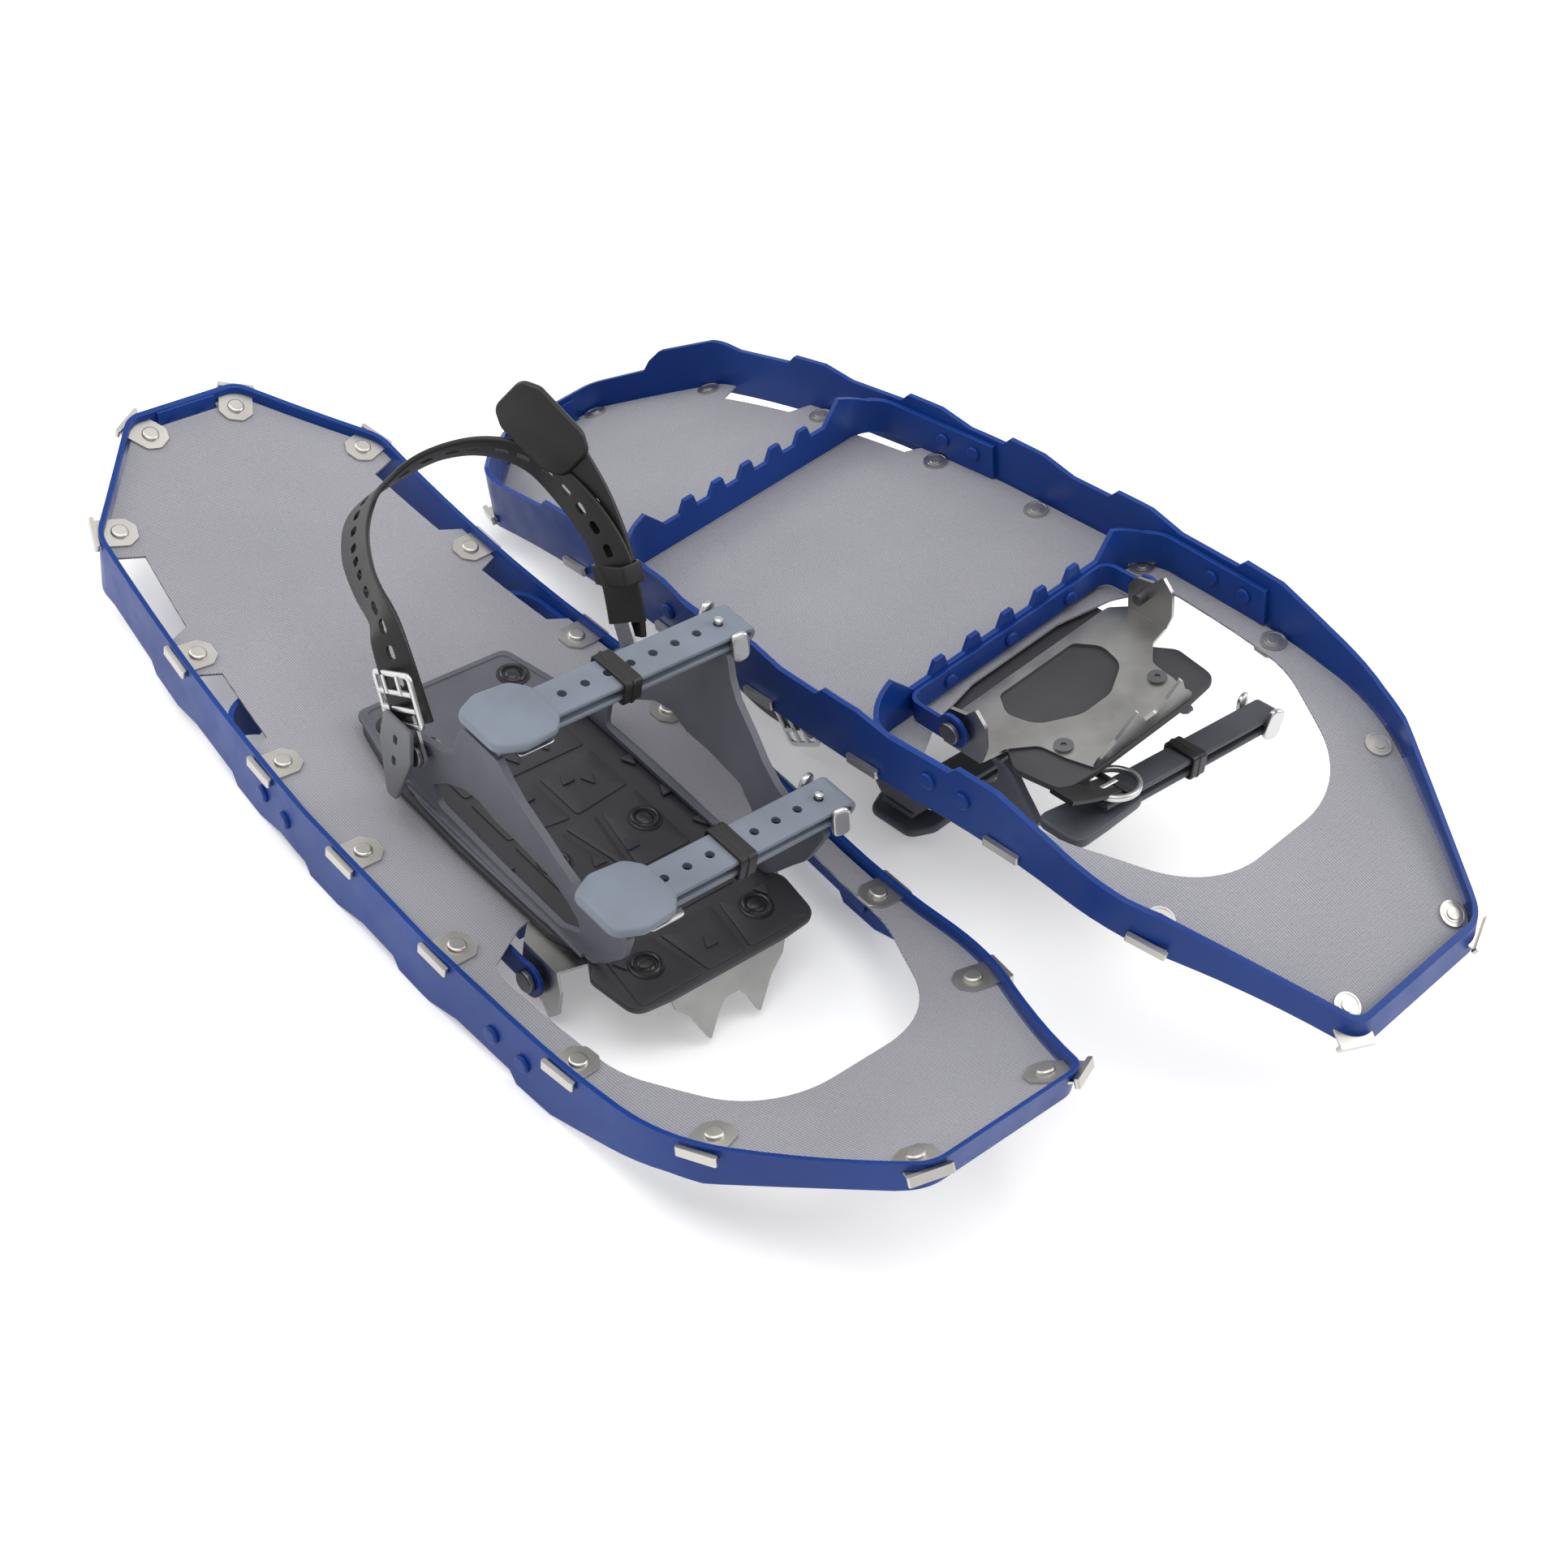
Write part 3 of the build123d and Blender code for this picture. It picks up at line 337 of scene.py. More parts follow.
def band(name, line, outs, width, thick, material, closed=False):
    """A strip swept along a line, its face turned towards outs, one direction per point."""
    section = rounded_section(width, thick, thick * 0.42)
    count, ring = len(line), len(section)
    verts, faces = [], []
    for i, here in enumerate(line):
        ahead = line[(i + 1) % count] if closed or i < count - 1 else here
        behind = line[i - 1] if closed or i else here
        run = (ahead - behind).normalized()
        side = run.cross(outs[i]).normalized()
        out = side.cross(run).normalized()
        verts += [here + side * p.x + out * p.y for p in section]
    for i in range(count if closed else count - 1):
        a, b = i * ring, ((i + 1) % count) * ring
        faces += [(a + k, a + (k + 1) % ring, b + (k + 1) % ring, b + k) for k in range(ring)]
    if not closed:
        faces += [tuple(range(ring)), tuple(reversed(range((count - 1) * ring, count * ring)))]
    return new_piece(name, verts, faces, material)


def plate(name, outline, low, high, material, soft=0.001, crown=0.0, rings=5):
    """A plate of the outline, with rounded rims and a top that may be crowned. low and high are heights."""
    centre = sum(outline, Vector((0, 0))) / len(outline)
    reach = max((p - centre).length for p in outline)

    def loop(inset, z):
        scale = 1 - inset / reach
        return [Vector((*(centre + (p - centre) * scale), z)) for p in outline]

    turns = [k * pi / 6 for k in range(4)]
    loops = [loop(soft * (1 - sin(a)), low + soft * (1 - cos(a))) for a in turns]
    loops += [loop(soft * (1 - cos(a)), high - soft + soft * sin(a)) for a in turns]
    for k in range(1, rings):
        t = k / rings
        loops.append(loop(soft + (reach - soft) * t, high + crown * (1 - (1 - t) ** 2)))
    verts = [v for ring in loops for v in ring]
    count = len(outline)
    faces = []
    for i in range(len(loops) - 1):
        a, b = i * count, (i + 1) * count
        faces += [(a + k, a + (k + 1) % count, b + (k + 1) % count, b + k) for k in range(count)]
    verts.append(Vector((*centre, high + crown)))
    tip, last = len(verts) - 1, (len(loops) - 1) * count
    faces += [(last + k, last + (k + 1) % count, tip) for k in range(count)]
    faces.append(tuple(reversed(range(count))))
    return new_piece(name, verts, faces, material, sharp=SOFT_SHARP)


def lathe(name, profile, material, sides=28):
    """A round piece from (radius, height) points."""
    verts, faces = [], []
    for radius, z in profile:
        verts += [Vector((radius * cos(2 * pi * k / sides), radius * sin(2 * pi * k / sides), z))
                  for k in range(sides)]
    for i in range(len(profile) - 1):
        a, b = i * sides, (i + 1) * sides
        faces += [(a + k, a + (k + 1) % sides, b + (k + 1) % sides, b + k) for k in range(sides)]
    faces.append(tuple(range(sides)))
    faces.append(tuple(range((len(profile) - 1) * sides, len(profile) * sides)))
    return new_piece(name, verts, faces, material)


def move(obj, matrix):
    """Move a piece by its mesh. A mirroring matrix turns the faces, so they are turned back."""
    obj.data.transform(matrix)
    if matrix.is_negative:
        obj.data.flip_normals()
    return obj


def joined(name, pieces):
    """One piece made of several."""
    keep = pieces[0]
    with bpy.context.temp_override(active_object=keep, selected_editable_objects=pieces, object=keep):
        bpy.ops.object.join()
    keep.name = name
    keep.data.name = name
    return keep


def punched(obj, punches):
    """Cut the punches out of a piece."""
    tool = joined("punch", punches)
    cut = obj.modifiers.new("cut", "BOOLEAN")
    cut.operation = "DIFFERENCE"
    cut.solver = "EXACT"
    cut.object = tool
    bpy.context.view_layer.update()
    mesh = bpy.data.meshes.new_from_object(obj.evaluated_get(bpy.context.evaluated_depsgraph_get()))
    obj.modifiers.clear()
    obj.data = mesh
    mesh.set_sharp_from_angle(angle=radians(PIECE_SHARP))
    bpy.data.objects.remove(tool)
    return obj


def punch(radius, stretch, matrix, depth=0.012):
    """A round or oval tool, long along its own X by stretch."""
    tool = lathe("tool", [(radius, -depth), (radius, depth)], STRAP, sides=20)
    for v in tool.data.vertices:
        v.co.x += stretch / 2 if v.co.x > 0 else -stretch / 2
    return move(tool, matrix)


def facing(origin, x_dir, z_dir):
    """Matrix of a small frame with +Z along z_dir and +X near x_dir."""
    z = z_dir.normalized()
    x = (x_dir - z * x_dir.dot(z)).normalized()
    matrix = Matrix((x, z.cross(x), z)).transposed().to_4x4()
    matrix.translation = origin
    return matrix


# The binding's pieces, in the shoe's own frame

# Toe straps: thickness, width, distance between the plies' middles, and the holes' radius, pitch and count.
STRAP_T, STRAP_W, PLY = 3 * MM, 21 * MM, 6.4 * MM
HOLE_R, HOLE_PITCH, HOLE_COUNT = 2.35 * MM, 13 * MM, 9
PEG_INSET = 2.6 * MM
HOLES_END = 33 * MM
STRAP_HALF = {"rear": 69.5 * MM, "front": 62 * MM}
# Half outlines of the paddle and of the left front strap's wedge, as (along, across) in mm.
PADDLE = [(33, 10.5), (40, 18.5), (58, 20), (71, 14)]
WEDGE = [(30, 8), (62, 12), (84, 14)]
# The left shoe's straps take the darker copy of the strap rubber, which is painted shade.
STRAP_LOOKS = {
    ("right", "front"): (STRAP_W, PADDLE, STRAP), ("right", "rear"): (STRAP_W, PADDLE, STRAP),
    ("left", "front"): (15 * MM, WEDGE, SHADED_STRAP), ("left", "rear"): (STRAP_W, PADDLE, SHADED_STRAP),
}


def strap_place(lie, strap):
    """Where a toe strap lies: its own +X runs to the paddle and +Z away from the boot."""
    x, y, z, tilt = lie["straps"][strap]
    return Matrix.Translation(Vector((x, y, z)) * MM) @ Matrix.Rotation(radians(tilt), 4, "Y")


def toe_strap(side, strap):
    """The folded strap: lower ply, turn, upper ply with holes, and the crowned paddle."""
    strap_w, half_outline, rubber_look = STRAP_LOOKS[side, strap]
    mid = STRAP_T / 2
    half = STRAP_HALF[strap]
    upper = [Vector((x * MM, 0, mid)) for x in (52, 40, 20, 0, -20, -40)]
    upper.append(Vector((-half - 7 * MM, 0, mid)))
    far = upper[-1]
    radius = PLY / 2
    turn = [far + Vector((-radius * sin(a) * 1.25, 0, -radius + radius * cos(a)))
            for a in (pi * k / 10 for k in range(1, 10))]
    lower = [p + Vector((0, 0, -PLY)) for p in reversed(upper)]
    lower.append(Vector((half - 4 * MM, 0, mid - PLY)))
    line = upper + turn + lower
    outs = []
    for i, here in enumerate(line):
        run = line[min(i + 1, len(line) - 1)] - line[max(i - 1, 0)]
        outs.append(run.cross(Vector((0, 1, 0))) * -1)
    strip = band("strip", line, outs, strap_w, STRAP_T, rubber_look)
    holes = []
    for i in range(HOLE_COUNT):
        x = -half + PEG_INSET + i * HOLE_PITCH
        if x < HOLES_END:
            holes.append(punch(HOLE_R, 0, Matrix.Translation((x, 0, mid)), depth=2.6 * MM))
    strip = punched(strip, holes)
    outline = [(x * MM, y * MM) for x, y in half_outline + [(x, -y) for x, y in reversed(half_outline)]]
    outline = rounded(outline, 7 * MM)
    blade = plate("blade", outline, -0.6 * MM, 4.6 * MM, rubber_look, soft=2 * MM, crown=1.0 * MM)
    piece = joined(f"{side}_{strap}_toe_strap_look", [strip, blade])
    return move(piece, strap_place(LIES[side], strap))


def capsule(length, width):
    """A round-ended outline along X."""
    return rounded([(length / 2, width / 2), (-length / 2, width / 2), (-length / 2, -width / 2),
                    (length / 2, -width / 2)], width * 0.48, 0.8 * MM)


PEG_PROFILE = [(1.7, -1), (1.7, 4.6), (2.3, 5.0), (2.1, 5.9), (1.1, 6.3)]


def strap_hooks(side):
    """Steel hooks at the straps' far ends with a peg in the last hole, and plates under the paddles."""
    pieces = []
    for strap, half in STRAP_HALF.items():
        place = strap_place(LIES[side], strap)
        made = []
        end = -half - 1 * MM
        wide = STRAP_LOOKS[side, strap][0]
        for sign in (1, -1):
            ear = plate("ear", capsule(17 * MM, 9 * MM), -1.5 * MM, 1.5 * MM, BRIGHT_STEEL, soft=1.1 * MM)
            middle = Vector((end, sign * (wide / 2 + 2.2 * MM), -3.2 * MM))
            lean = Vector((0.25 * sign, 0.1, 1.0))
            made.append(move(ear, facing(middle, lean, Vector((0.25, sign, 0)))))
        bar = plate("bar", capsule(wide + 6 * MM, 5 * MM), -1 * MM, 1 * MM, BRIGHT_STEEL, soft=0.8 * MM)
        made.append(move(bar, facing(Vector((end, 0, -STRAP_T / 2 - 0.3 * MM)), Vector((0, 1, 0)),
                                     Vector((0, 0, 1)))))
        peg = lathe("peg", [(r * MM, z * MM) for r, z in PEG_PROFILE], BRIGHT_STEEL, sides=16)
        made.append(move(peg, Matrix.Translation((-half + PEG_INSET, 0, 0))))
        if (side, strap) == ("left", "front"):
            made += ring_buckle(half)
        else:
            corners = [(x * MM, y * MM) for x, y in ((10, 15), (-10, 15), (-10, -15), (10, -15))]
            outline = rounded(corners, 3 * MM)
            seat = plate("seat", outline, -0.6 * MM, 0.6 * MM, BRIGHT_STEEL, soft=0.4 * MM)
            made.append(move(seat, Matrix.Translation((half - 22 * MM, 0, -PLY - 0.8 * MM))))
        pieces += [move(piece, place) for piece in made]
    return joined(f"{side}_toe_strap_hooks_look", pieces)


def ring_buckle(half):
    """Oval steel ring with a prong, black bar and tab on the near end of a strap's lower ply."""
    middle = Vector((half - 16 * MM, 0, -PLY - 3.4 * MM))
    turns = [2 * pi * k / 40 for k in range(40)]
    oval = [middle + Vector((13 * MM * cos(a), 11.5 * MM * sin(a), 0)) for a in turns]
    outs = [p - middle for p in oval]
    ring = band("ring", oval, outs, 3.4 * MM, 2.6 * MM, BRIGHT_STEEL, closed=True)
    bar = band("bar", [middle + Vector((0, y * MM, 0)) for y in (-11, -4, 4, 11)], [Vector((0, 0, -1))] * 4,
               3.2 * MM, 3.2 * MM, HEEL)
    prong = band("prong", [middle + Vector((x * MM, 0, -1.2 * MM)) for x in (-1, 4, 9, 14)],
                 [Vector((0, 0, -1))] * 4, 2.6 * MM, 1.6 * MM, BRIGHT_STEEL)
    droop = [middle + Vector((x * MM, 0, z * MM)) for x, z in ((2, 0.5), (14, -1.5), (26, -5), (38, -9))]
    tab = band("tab", droop, [Vector((0, 0, -1))] * 4, 14 * MM, 2.4 * MM, HEEL)
    return [ring, bar, prong, tab]


KEEPER_X, KEEPER_L, KEEPER_T = -7 * MM, 10 * MM, 1.7 * MM


def keeper(side, strap):
    """The sliding loop round both plies."""
    width, high = STRAP_LOOKS[side, strap][0] + 1.4 * MM, PLY + STRAP_T + 1.4 * MM
    centre_z = (STRAP_T - PLY) / 2
    ring = rounded([(width / 2, high / 2), (-width / 2, high / 2), (-width / 2, -high / 2),
                    (width / 2, -high / 2)], 1.6 * MM, step=0.5 * MM)
    mid = Vector((KEEPER_X, 0, centre_z))
    line = [mid + Vector((0, p.x, p.y)) * 1.06 for p in ring]
    outs = [(p - mid) for p in line]
    loop = band("loop", line, outs, KEEPER_L, KEEPER_T, HEEL, closed=True)
    crest = [mid + (p - mid) * 1.07 for p in line]
    ridge = band("ridge", crest, outs, 1.6 * MM, 1.2 * MM, HEEL, closed=True)
    return move(joined(f"{side}_{strap}_keeper_look", [loop, ridge]), strap_place(LIES[side], strap))


# Wings: foot's distance from the middle, thickness, height of the raised lip, and outward lean.
WING_ROOT, WING_T, WING_LIP, FLARE = 50.5 * MM, 3.2 * MM, 0.6 * MM, radians(11)
WING_COLUMNS, WING_ROWS = 90, 22
LIP_WIDTH = 2.6 * MM
FOOT_OUT, FOOT_RISE = 2.5 * MM, 8 * MM
REAR_T = 2.6 * MM


def wing_edges(lie):
    """Top and bottom edges of a wing's side view, as (y, z) lines."""
    h = lie["height"]
    (rear_y, rear_z), (front_y, front_z) = lie["arms"]
    base = BED_TOP / MM

    def up(z):
        """A height on the wing as it stands with a boot in, lowered as far as this wing lies."""
        return (z - base) * h + base

    def between(y):
        """Height at y of the straight line between the two arms."""
        return rear_z + (front_z - rear_z) * (y - rear_y) / (front_y - rear_y)

    top = [(-33, base), (-27, up(20)), (-21, up(38)), (-12, up(52)), (0, up(57)), (10, up(60)),
           (19, up(68)), (rear_y - 18, rear_z * 0.93), (rear_y - 13, rear_z), (rear_y, rear_z + 0.5),
           (rear_y + 12, rear_z), (rear_y + 18, rear_z * 0.9)]
    top += [(y, between(y) * ratio) for y, ratio in
            ((rear_y + 25, 0.94), (front_y - 46, 0.9), (front_y - 35, 0.855), (front_y - 24, 0.835))]
    top += [(front_y - 16, front_z - 2), (front_y - 9, front_z), (front_y + 7, front_z),
            (front_y + 11, front_z - 3)]
    bottom = [(-33, base), (40, base), (100, base), (front_y - 16, base + 1), (front_y - 7, up(16)),
              (front_y, up(25)), (front_y + 6, up(32)), (front_y + 11, front_z - 5)]
    return [[Vector((y * MM, z * MM, 0)) for y, z in edge] for edge in (top, bottom)]


def height_at(line, y):
    """Height of an edge line at y."""
    for a, b in zip(line, line[1:]):
        if a.x <= y <= b.x:
            return a.y + (b.y - a.y) * (y - a.x) / max(b.x - a.x, 1e-9)
    return line[0].y if y < line[0].x else line[-1].y


# The opening low in each wing, between its arms, as (y, z) in mm.
WING_OPENING = [(-4, 12), (40, 10.5), (90, 10.5), (104, 18), (104, 27), (97, 34), (86, 41), (62, 43.5),
                (46, 43.5), (34, 47), (22, 45), (6, 35), (-6, 24)]


def wing_opening(side_sign, lie):
    """The tool that cuts a wing's opening, as low as the wing lies."""
    base = BED_TOP / MM
    outline = [(y * MM, ((z - base) * lie["height"] + base) * MM) for y, z in WING_OPENING]
    tool = plate("opening", rounded(outline, 5 * MM), -20 * MM, 20 * MM, HARNESS, soft=0.5 * MM, rings=2)
    return move(tool, facing(Vector((side_sign * 55 * MM, 0, 0)), Vector((0, 1, 0)), Vector((1, 0, 0))))


def wing(side_sign, lie):
    """A rubber wing: thin sheet up from the footbed's edge, with a raised lip along its outline."""
    top, bottom = wing_edges(lie)
    y_low, y_high = top[0].x, top[-1].x
    columns, rows = WING_COLUMNS, WING_ROWS
    grid = {}
    for i in range(columns + 1):
        y = y_low + (y_high - y_low) * i / columns
        low, high = height_at(bottom, y), height_at(top, y)
        slope = abs(height_at(top, y + MM) - height_at(top, y - MM)) / (2 * MM)
        for j in range(rows + 1):
            z = low + (high - low) * (0.5 - 0.5 * cos(pi * j / rows))
            gap = min((high - z) / hypot(1, slope), y - y_low, y_high - y)
            if low > BED_TOP + 2 * MM:
                gap = min(gap, z - low)
            lip = WING_LIP * max(0.0, min(1.0, 1 - (gap - LIP_WIDTH) / MM))
            above = z - BED_TOP
            middle = WING_ROOT - 1.5 * MM + above * sin(FLARE)
            middle += FOOT_OUT * max(0.0, 1 - above / FOOT_RISE) ** 2
            for face, offset in ((1, WING_T / 2 + lip), (-1, -WING_T / 2)):
                grid[i, j, face] = Vector((side_sign * (middle + offset), y, z))
    index = {key: n for n, key in enumerate(grid)}
    faces = []
    for i in range(columns):
        for j in range(rows):
            for face in (1, -1):
                corners = ((i, j), (i + 1, j), (i + 1, j + 1), (i, j + 1))
                faces.append(tuple(index[a, b, face] for a, b in corners))
    for i in range(columns):
        for j in (0, rows):
            faces.append((index[i, j, 1], index[i + 1, j, 1], index[i + 1, j, -1], index[i, j, -1]))
    for j in range(rows):
        for i in (0, columns):
            faces.append((index[i, j, 1], index[i, j + 1, 1], index[i, j + 1, -1], index[i, j, -1]))
    return new_piece("wing", list(grid.values()), faces, HARNESS, sharp=WING_SHARP)


# Middles of the footbed's studs, as (x, y) in mm.
STUDS = [(33, 128), (-33, 128), (27, 54), (-27, 54), (36, -62), (-36, -62)]


def rivet_ring(x, y, z, material):
    """A dished stud with a ringed rim."""
    profile = [(8.6, 0), (8.4, 0.5), (7.4, 0.7), (7.0, 1.5), (6.3, 1.9), (5.5, 1.6), (5.0, 0.5), (4.4, 0.5),
               (3.8, 1.1), (2.4, 1.5), (0.8, 1.6)]
    return move(lathe("stud", [(r * MM, h * MM) for r, h in profile], material),
                Matrix.Translation(Vector((x, y, z / MM)) * MM))


def harness(side):
    """Rear piece, two wings and the strips that join them along the footbed."""
    lie = LIES[side]
    rear = [(40, -24), (53, -20), (53, -46), (45, -81)]
    outline = rear + [(-x, y) for x, y in reversed(rear)]
    outline = rounded([(x * MM, y * MM) for x, y in outline], 6 * MM)
    back = plate("rear", outline, BED_TOP, BED_TOP + REAR_T, HARNESS, soft=0.9 * MM)
    loop = [Vector((p.x * 0.93, -0.05 + (p.y + 0.05) * 0.9, BED_TOP + 2.7 * MM)) for p in outline]
    bead = band("bead", loop, [Vector((0, 0, 1))] * len(loop), 1.4 * MM, 0.9 * MM, HARNESS, closed=True)
    wings = joined("wings", [wing(sign, lie) for sign in (1, -1)])
    pieces = [back, bead, punched(wings, [wing_opening(sign, lie) for sign in (1, -1)])]
    for sign in (1, -1):
        foot = [Vector((sign * (WING_ROOT + 1.6 * MM), y * MM, BED_TOP + 0.9 * MM))
                for y in range(-24, 112, 6)]
        pieces.append(band("foot", foot, [Vector((0, 0, 1))] * len(foot), 5 * MM, 2.2 * MM, HARNESS))
        edge = [Vector((sign * x * MM, y * MM, BED_TOP + 0.5 * MM))
                for x, y in ((51, -24), (54.5, -14), (55.5, 20), (54.5, 60), (53.5, 84), (50, 104))]
        edge = smooth(edge)
        pieces.append(band("edge", edge, [Vector((0, 0, 1))] * len(edge), 1.8 * MM, 1.6 * MM, HARNESS))
    return joined(f"{side}_harness_look", pieces)


# Half of the footbed's outline and its corner radii, in mm.
BED_HALF = [(34, 149), (54, 147), (58, 120), (49, 106), (56, 88), (58, 20), (57, -30), (46, -76)]
BED_RADII = [4, 9, 7, 9, 12, 60, 14, 8]


def footbed(side):
    """Moulded bed: a base sheet, raised tread panels between grooves, and small raised triangles."""
    outline = BED_HALF + [(-x, y) for x, y in reversed(BED_HALF)]
    outline = rounded([(x * MM, y * MM) for x, y in outline],
                      [r * MM for r in BED_RADII + BED_RADII[::-1]])
    pieces = [plate("base", outline, 2.55 * MM, BED_TOP - 0.9 * MM, BED, soft=1.0 * MM)]
    panels = [
        [(-50, 146), (-14, 146), (-20, 116), (-46, 112)], [(-11, 146), (11, 146), (16, 116), (-16, 116)],
        [(14, 146), (50, 146), (46, 112), (20, 116)], [(-36, 110), (36, 110), (33, 82), (-33, 82)],
        [(-36, 78), (-4, 78), (-12, 40), (-36, 34)], [(4, 78), (36, 78), (36, 34), (12, 40)],
        [(-1, 76), (1, 76), (9, 38), (-9, 38)], [(-36, 30), (-2, 34), (-2, 4), (-36, 0)],
        [(2, 34), (36, 30), (36, 0), (2, 4)], [(-36, -4), (36, -4), (36, -22), (-36, -22)],
    ]
    for panel in panels:
        shape = rounded([(x * MM, y * MM) for x, y in panel], 2.2 * MM)
        pieces.append(plate("panel", shape, BED_TOP - 1.2 * MM, BED_TOP - 0.1 * MM, BED,
                            soft=0.5 * MM, rings=2))
    triangles = [(-24, 94, 1), (0, 94, 1), (24, 94, 1), (-10, 64, -1), (10, 64, -1), (-22, 18, 1),
                 (22, 18, 1), (-12, 12, -1), (12, 12, -1), (0, 133, -1), (-42, 122, 1), (42, 122, 1),
                 (0, -13, 1), (-18, -13, 1), (18, -13, 1), (47, 18, 1), (-47, 18, 1), (48, 44, -1),
                 (-48, 44, -1), (49, 70, 1), (-49, 70, 1)]
    for x, y, way in triangles:
        shape = rounded([((x - 4) * MM, (y - 3 * way) * MM), ((x + 4) * MM, (y - 3 * way) * MM),
                         (x * MM, (y + 4.5 * way) * MM)], 0.8 * MM, step=0.0006)
        pieces.append(plate("tri", shape, BED_TOP - 0.4 * MM, BED_TOP + 1.1 * MM, BED,
                            soft=0.5 * MM, rings=2))
    return joined(f"{side}_footbed_look", pieces)


def studs(side):
    """The footbed's studs. The rear pair sits on the harness's rear piece."""
    made = []
    for x, y in STUDS:
        seat = BED_TOP + (REAR_T if y < 0 else 0)
        made.append(rivet_ring(x, y, seat, STUD))
    return joined(f"{side}_studs_look", made)


# Heel strap: middle line as (x, y, z) from the lugs' axis, before the strap's swing.
HEEL_LINES = {
    "right": [(61, -6, 13), (61.5, -15, 28), (60.5, -27, 43), (56, -42, 50), (47, -68, 49),
              (31, -98, 45), (12, -119, 45), (-8, -122, 53), (-25, -113, 66), (-42, -97, 74),
              (-55, -76, 74), (-62, -52, 64), (-65, -31, 51), (-65, -17, 36), (-64, -7, 18)],
    "left": [(64, -5, 10), (64, -12, 21), (64, -24, 33), (63, -45, 43), (56, -75, 55), (38, -106, 63),
             (0, -121, 66), (-38, -106, 63), (-56, -75, 55), (-63, -45, 43), (-64, -24, 33), (-64, -12, 21),
             (-64, -5, 10)],
}


# How far the strap's face tips up at its back, and twists towards its two ends.
HEEL_TIP = {"right": 0.9, "left": 0.0}
HEEL_TWIST = {"right": 0.6, "left": 0.0}
HEEL_HOLE_R, HEEL_HOLE_L, HEEL_HOLE_PITCH = 1.9 * MM, 3.2 * MM, 12.5 * MM
HEEL_RISE = radians(30)


def heel_strap(side):
    """The band round the heel, with oval holes along it."""
    points = [Vector(p) * MM for p in HEEL_LINES[side]]
    line = smooth(points, per_span=9)
    outs = []
    for p in line:
        back = min(0.0, p.y + 45 * MM)
        tip = HEEL_TIP[side] * min(1.0, -back / (75 * MM))
        twist = HEEL_TWIST[side] * max(0.0, min(1.0, (p.y + 105 * MM) / (90 * MM)))
        lean = Vector((0, copysign(twist, p.x), tip + copysign(twist / 2, p.x)))
        outs.append(Vector((p.x, back, 0)).normalized() + lean)
    strap = band("strap", line, outs, 19 * MM, 2.8 * MM, HEEL)
    holes = []
    gone = 0.0
    for i in range(6, len(line) - 6):
        gone += (line[i] - line[i - 1]).length
        if gone >= HEEL_HOLE_PITCH:
            gone -= HEEL_HOLE_PITCH
            run = line[i + 1] - line[i - 1]
            holes.append(punch(HEEL_HOLE_R, HEEL_HOLE_L, facing(line[i], run, outs[i]), depth=5 * MM))
    strap = punched(strap, holes)
    strap.name = f"{side}_heel_strap_look"
    return strap


def heel_tail(side):
    """The strap's free end outside the far link, with its paddle."""
    if side == "right":
        points = [(-67.5, -5, 10), (-69, -14, 27), (-70, -27, 47), (-68.5, -44, 67), (-64, -60, 84)]
        tip, face = Vector((-48, -86, 104)), Vector((-0.85, -0.5, -0.2))
    else:
        points = [(-67.5, -5, 10), (-68.5, -12, 22), (-69.5, -24, 36), (-70, -36, 43), (-70, -46, 47)]
        tip, face = Vector((-70, -84, 61)), Vector((-1, 0, 0))
    line = smooth([Vector(p) * MM for p in points])
    flat = Vector((-1, 0, 0))
    faces = [flat.lerp(face, i / (len(line) - 1)) for i in range(len(line))]
    strip = band("strip", line, faces, 17 * MM, 3 * MM, HEEL)
    holes = []
    for i in range(8, len(line) - 6, 5):
        run = line[i + 1] - line[i - 1]
        holes.append(punch(HEEL_HOLE_R, HEEL_HOLE_L, facing(line[i], run, faces[i]), depth=5 * MM))
    strip = punched(strip, holes)
    outline = [(23, 10), (14, 15), (-15, 14.5), (-24, 9), (-24, -9), (-15, -14.5), (14, -15), (23, -10)]
    outline = rounded(outline, 7)
    outline = [p * MM for p in outline]
    blade = plate("blade", outline, -2.6 * MM, 2.2 * MM, HEEL, soft=1.8 * MM, crown=1.0 * MM)
    root = line[-1] / MM
    move(blade, facing((root + tip) / 2 * MM, tip - root, face))
    return joined(f"{side}_heel_tail_look", [strip, blade])


def heel_keeper(side):
    """The loop that holds the free end against the strap."""
    at = {"right": (-66.8, -21, 38), "left": (-66.8, -12.5, 22.7)}[side]
    ring = rounded([(5.6, 12.2), (-5.6, 12.2), (-5.6, -12.2), (5.6, -12.2)], 1.6, step=0.5)
    across = Vector((0, cos(HEEL_RISE), sin(HEEL_RISE)))
    mid = Vector(at) * MM
    line = [mid + (Vector((p.x, 0, 0)) + across * p.y) * MM for p in ring]
    outs = [p - mid for p in line]
    loop = band("loop", line, outs, 10 * MM, 1.8 * MM, HEEL, closed=True)
    loop.name = f"{side}_heel_keeper_look"
    return loop


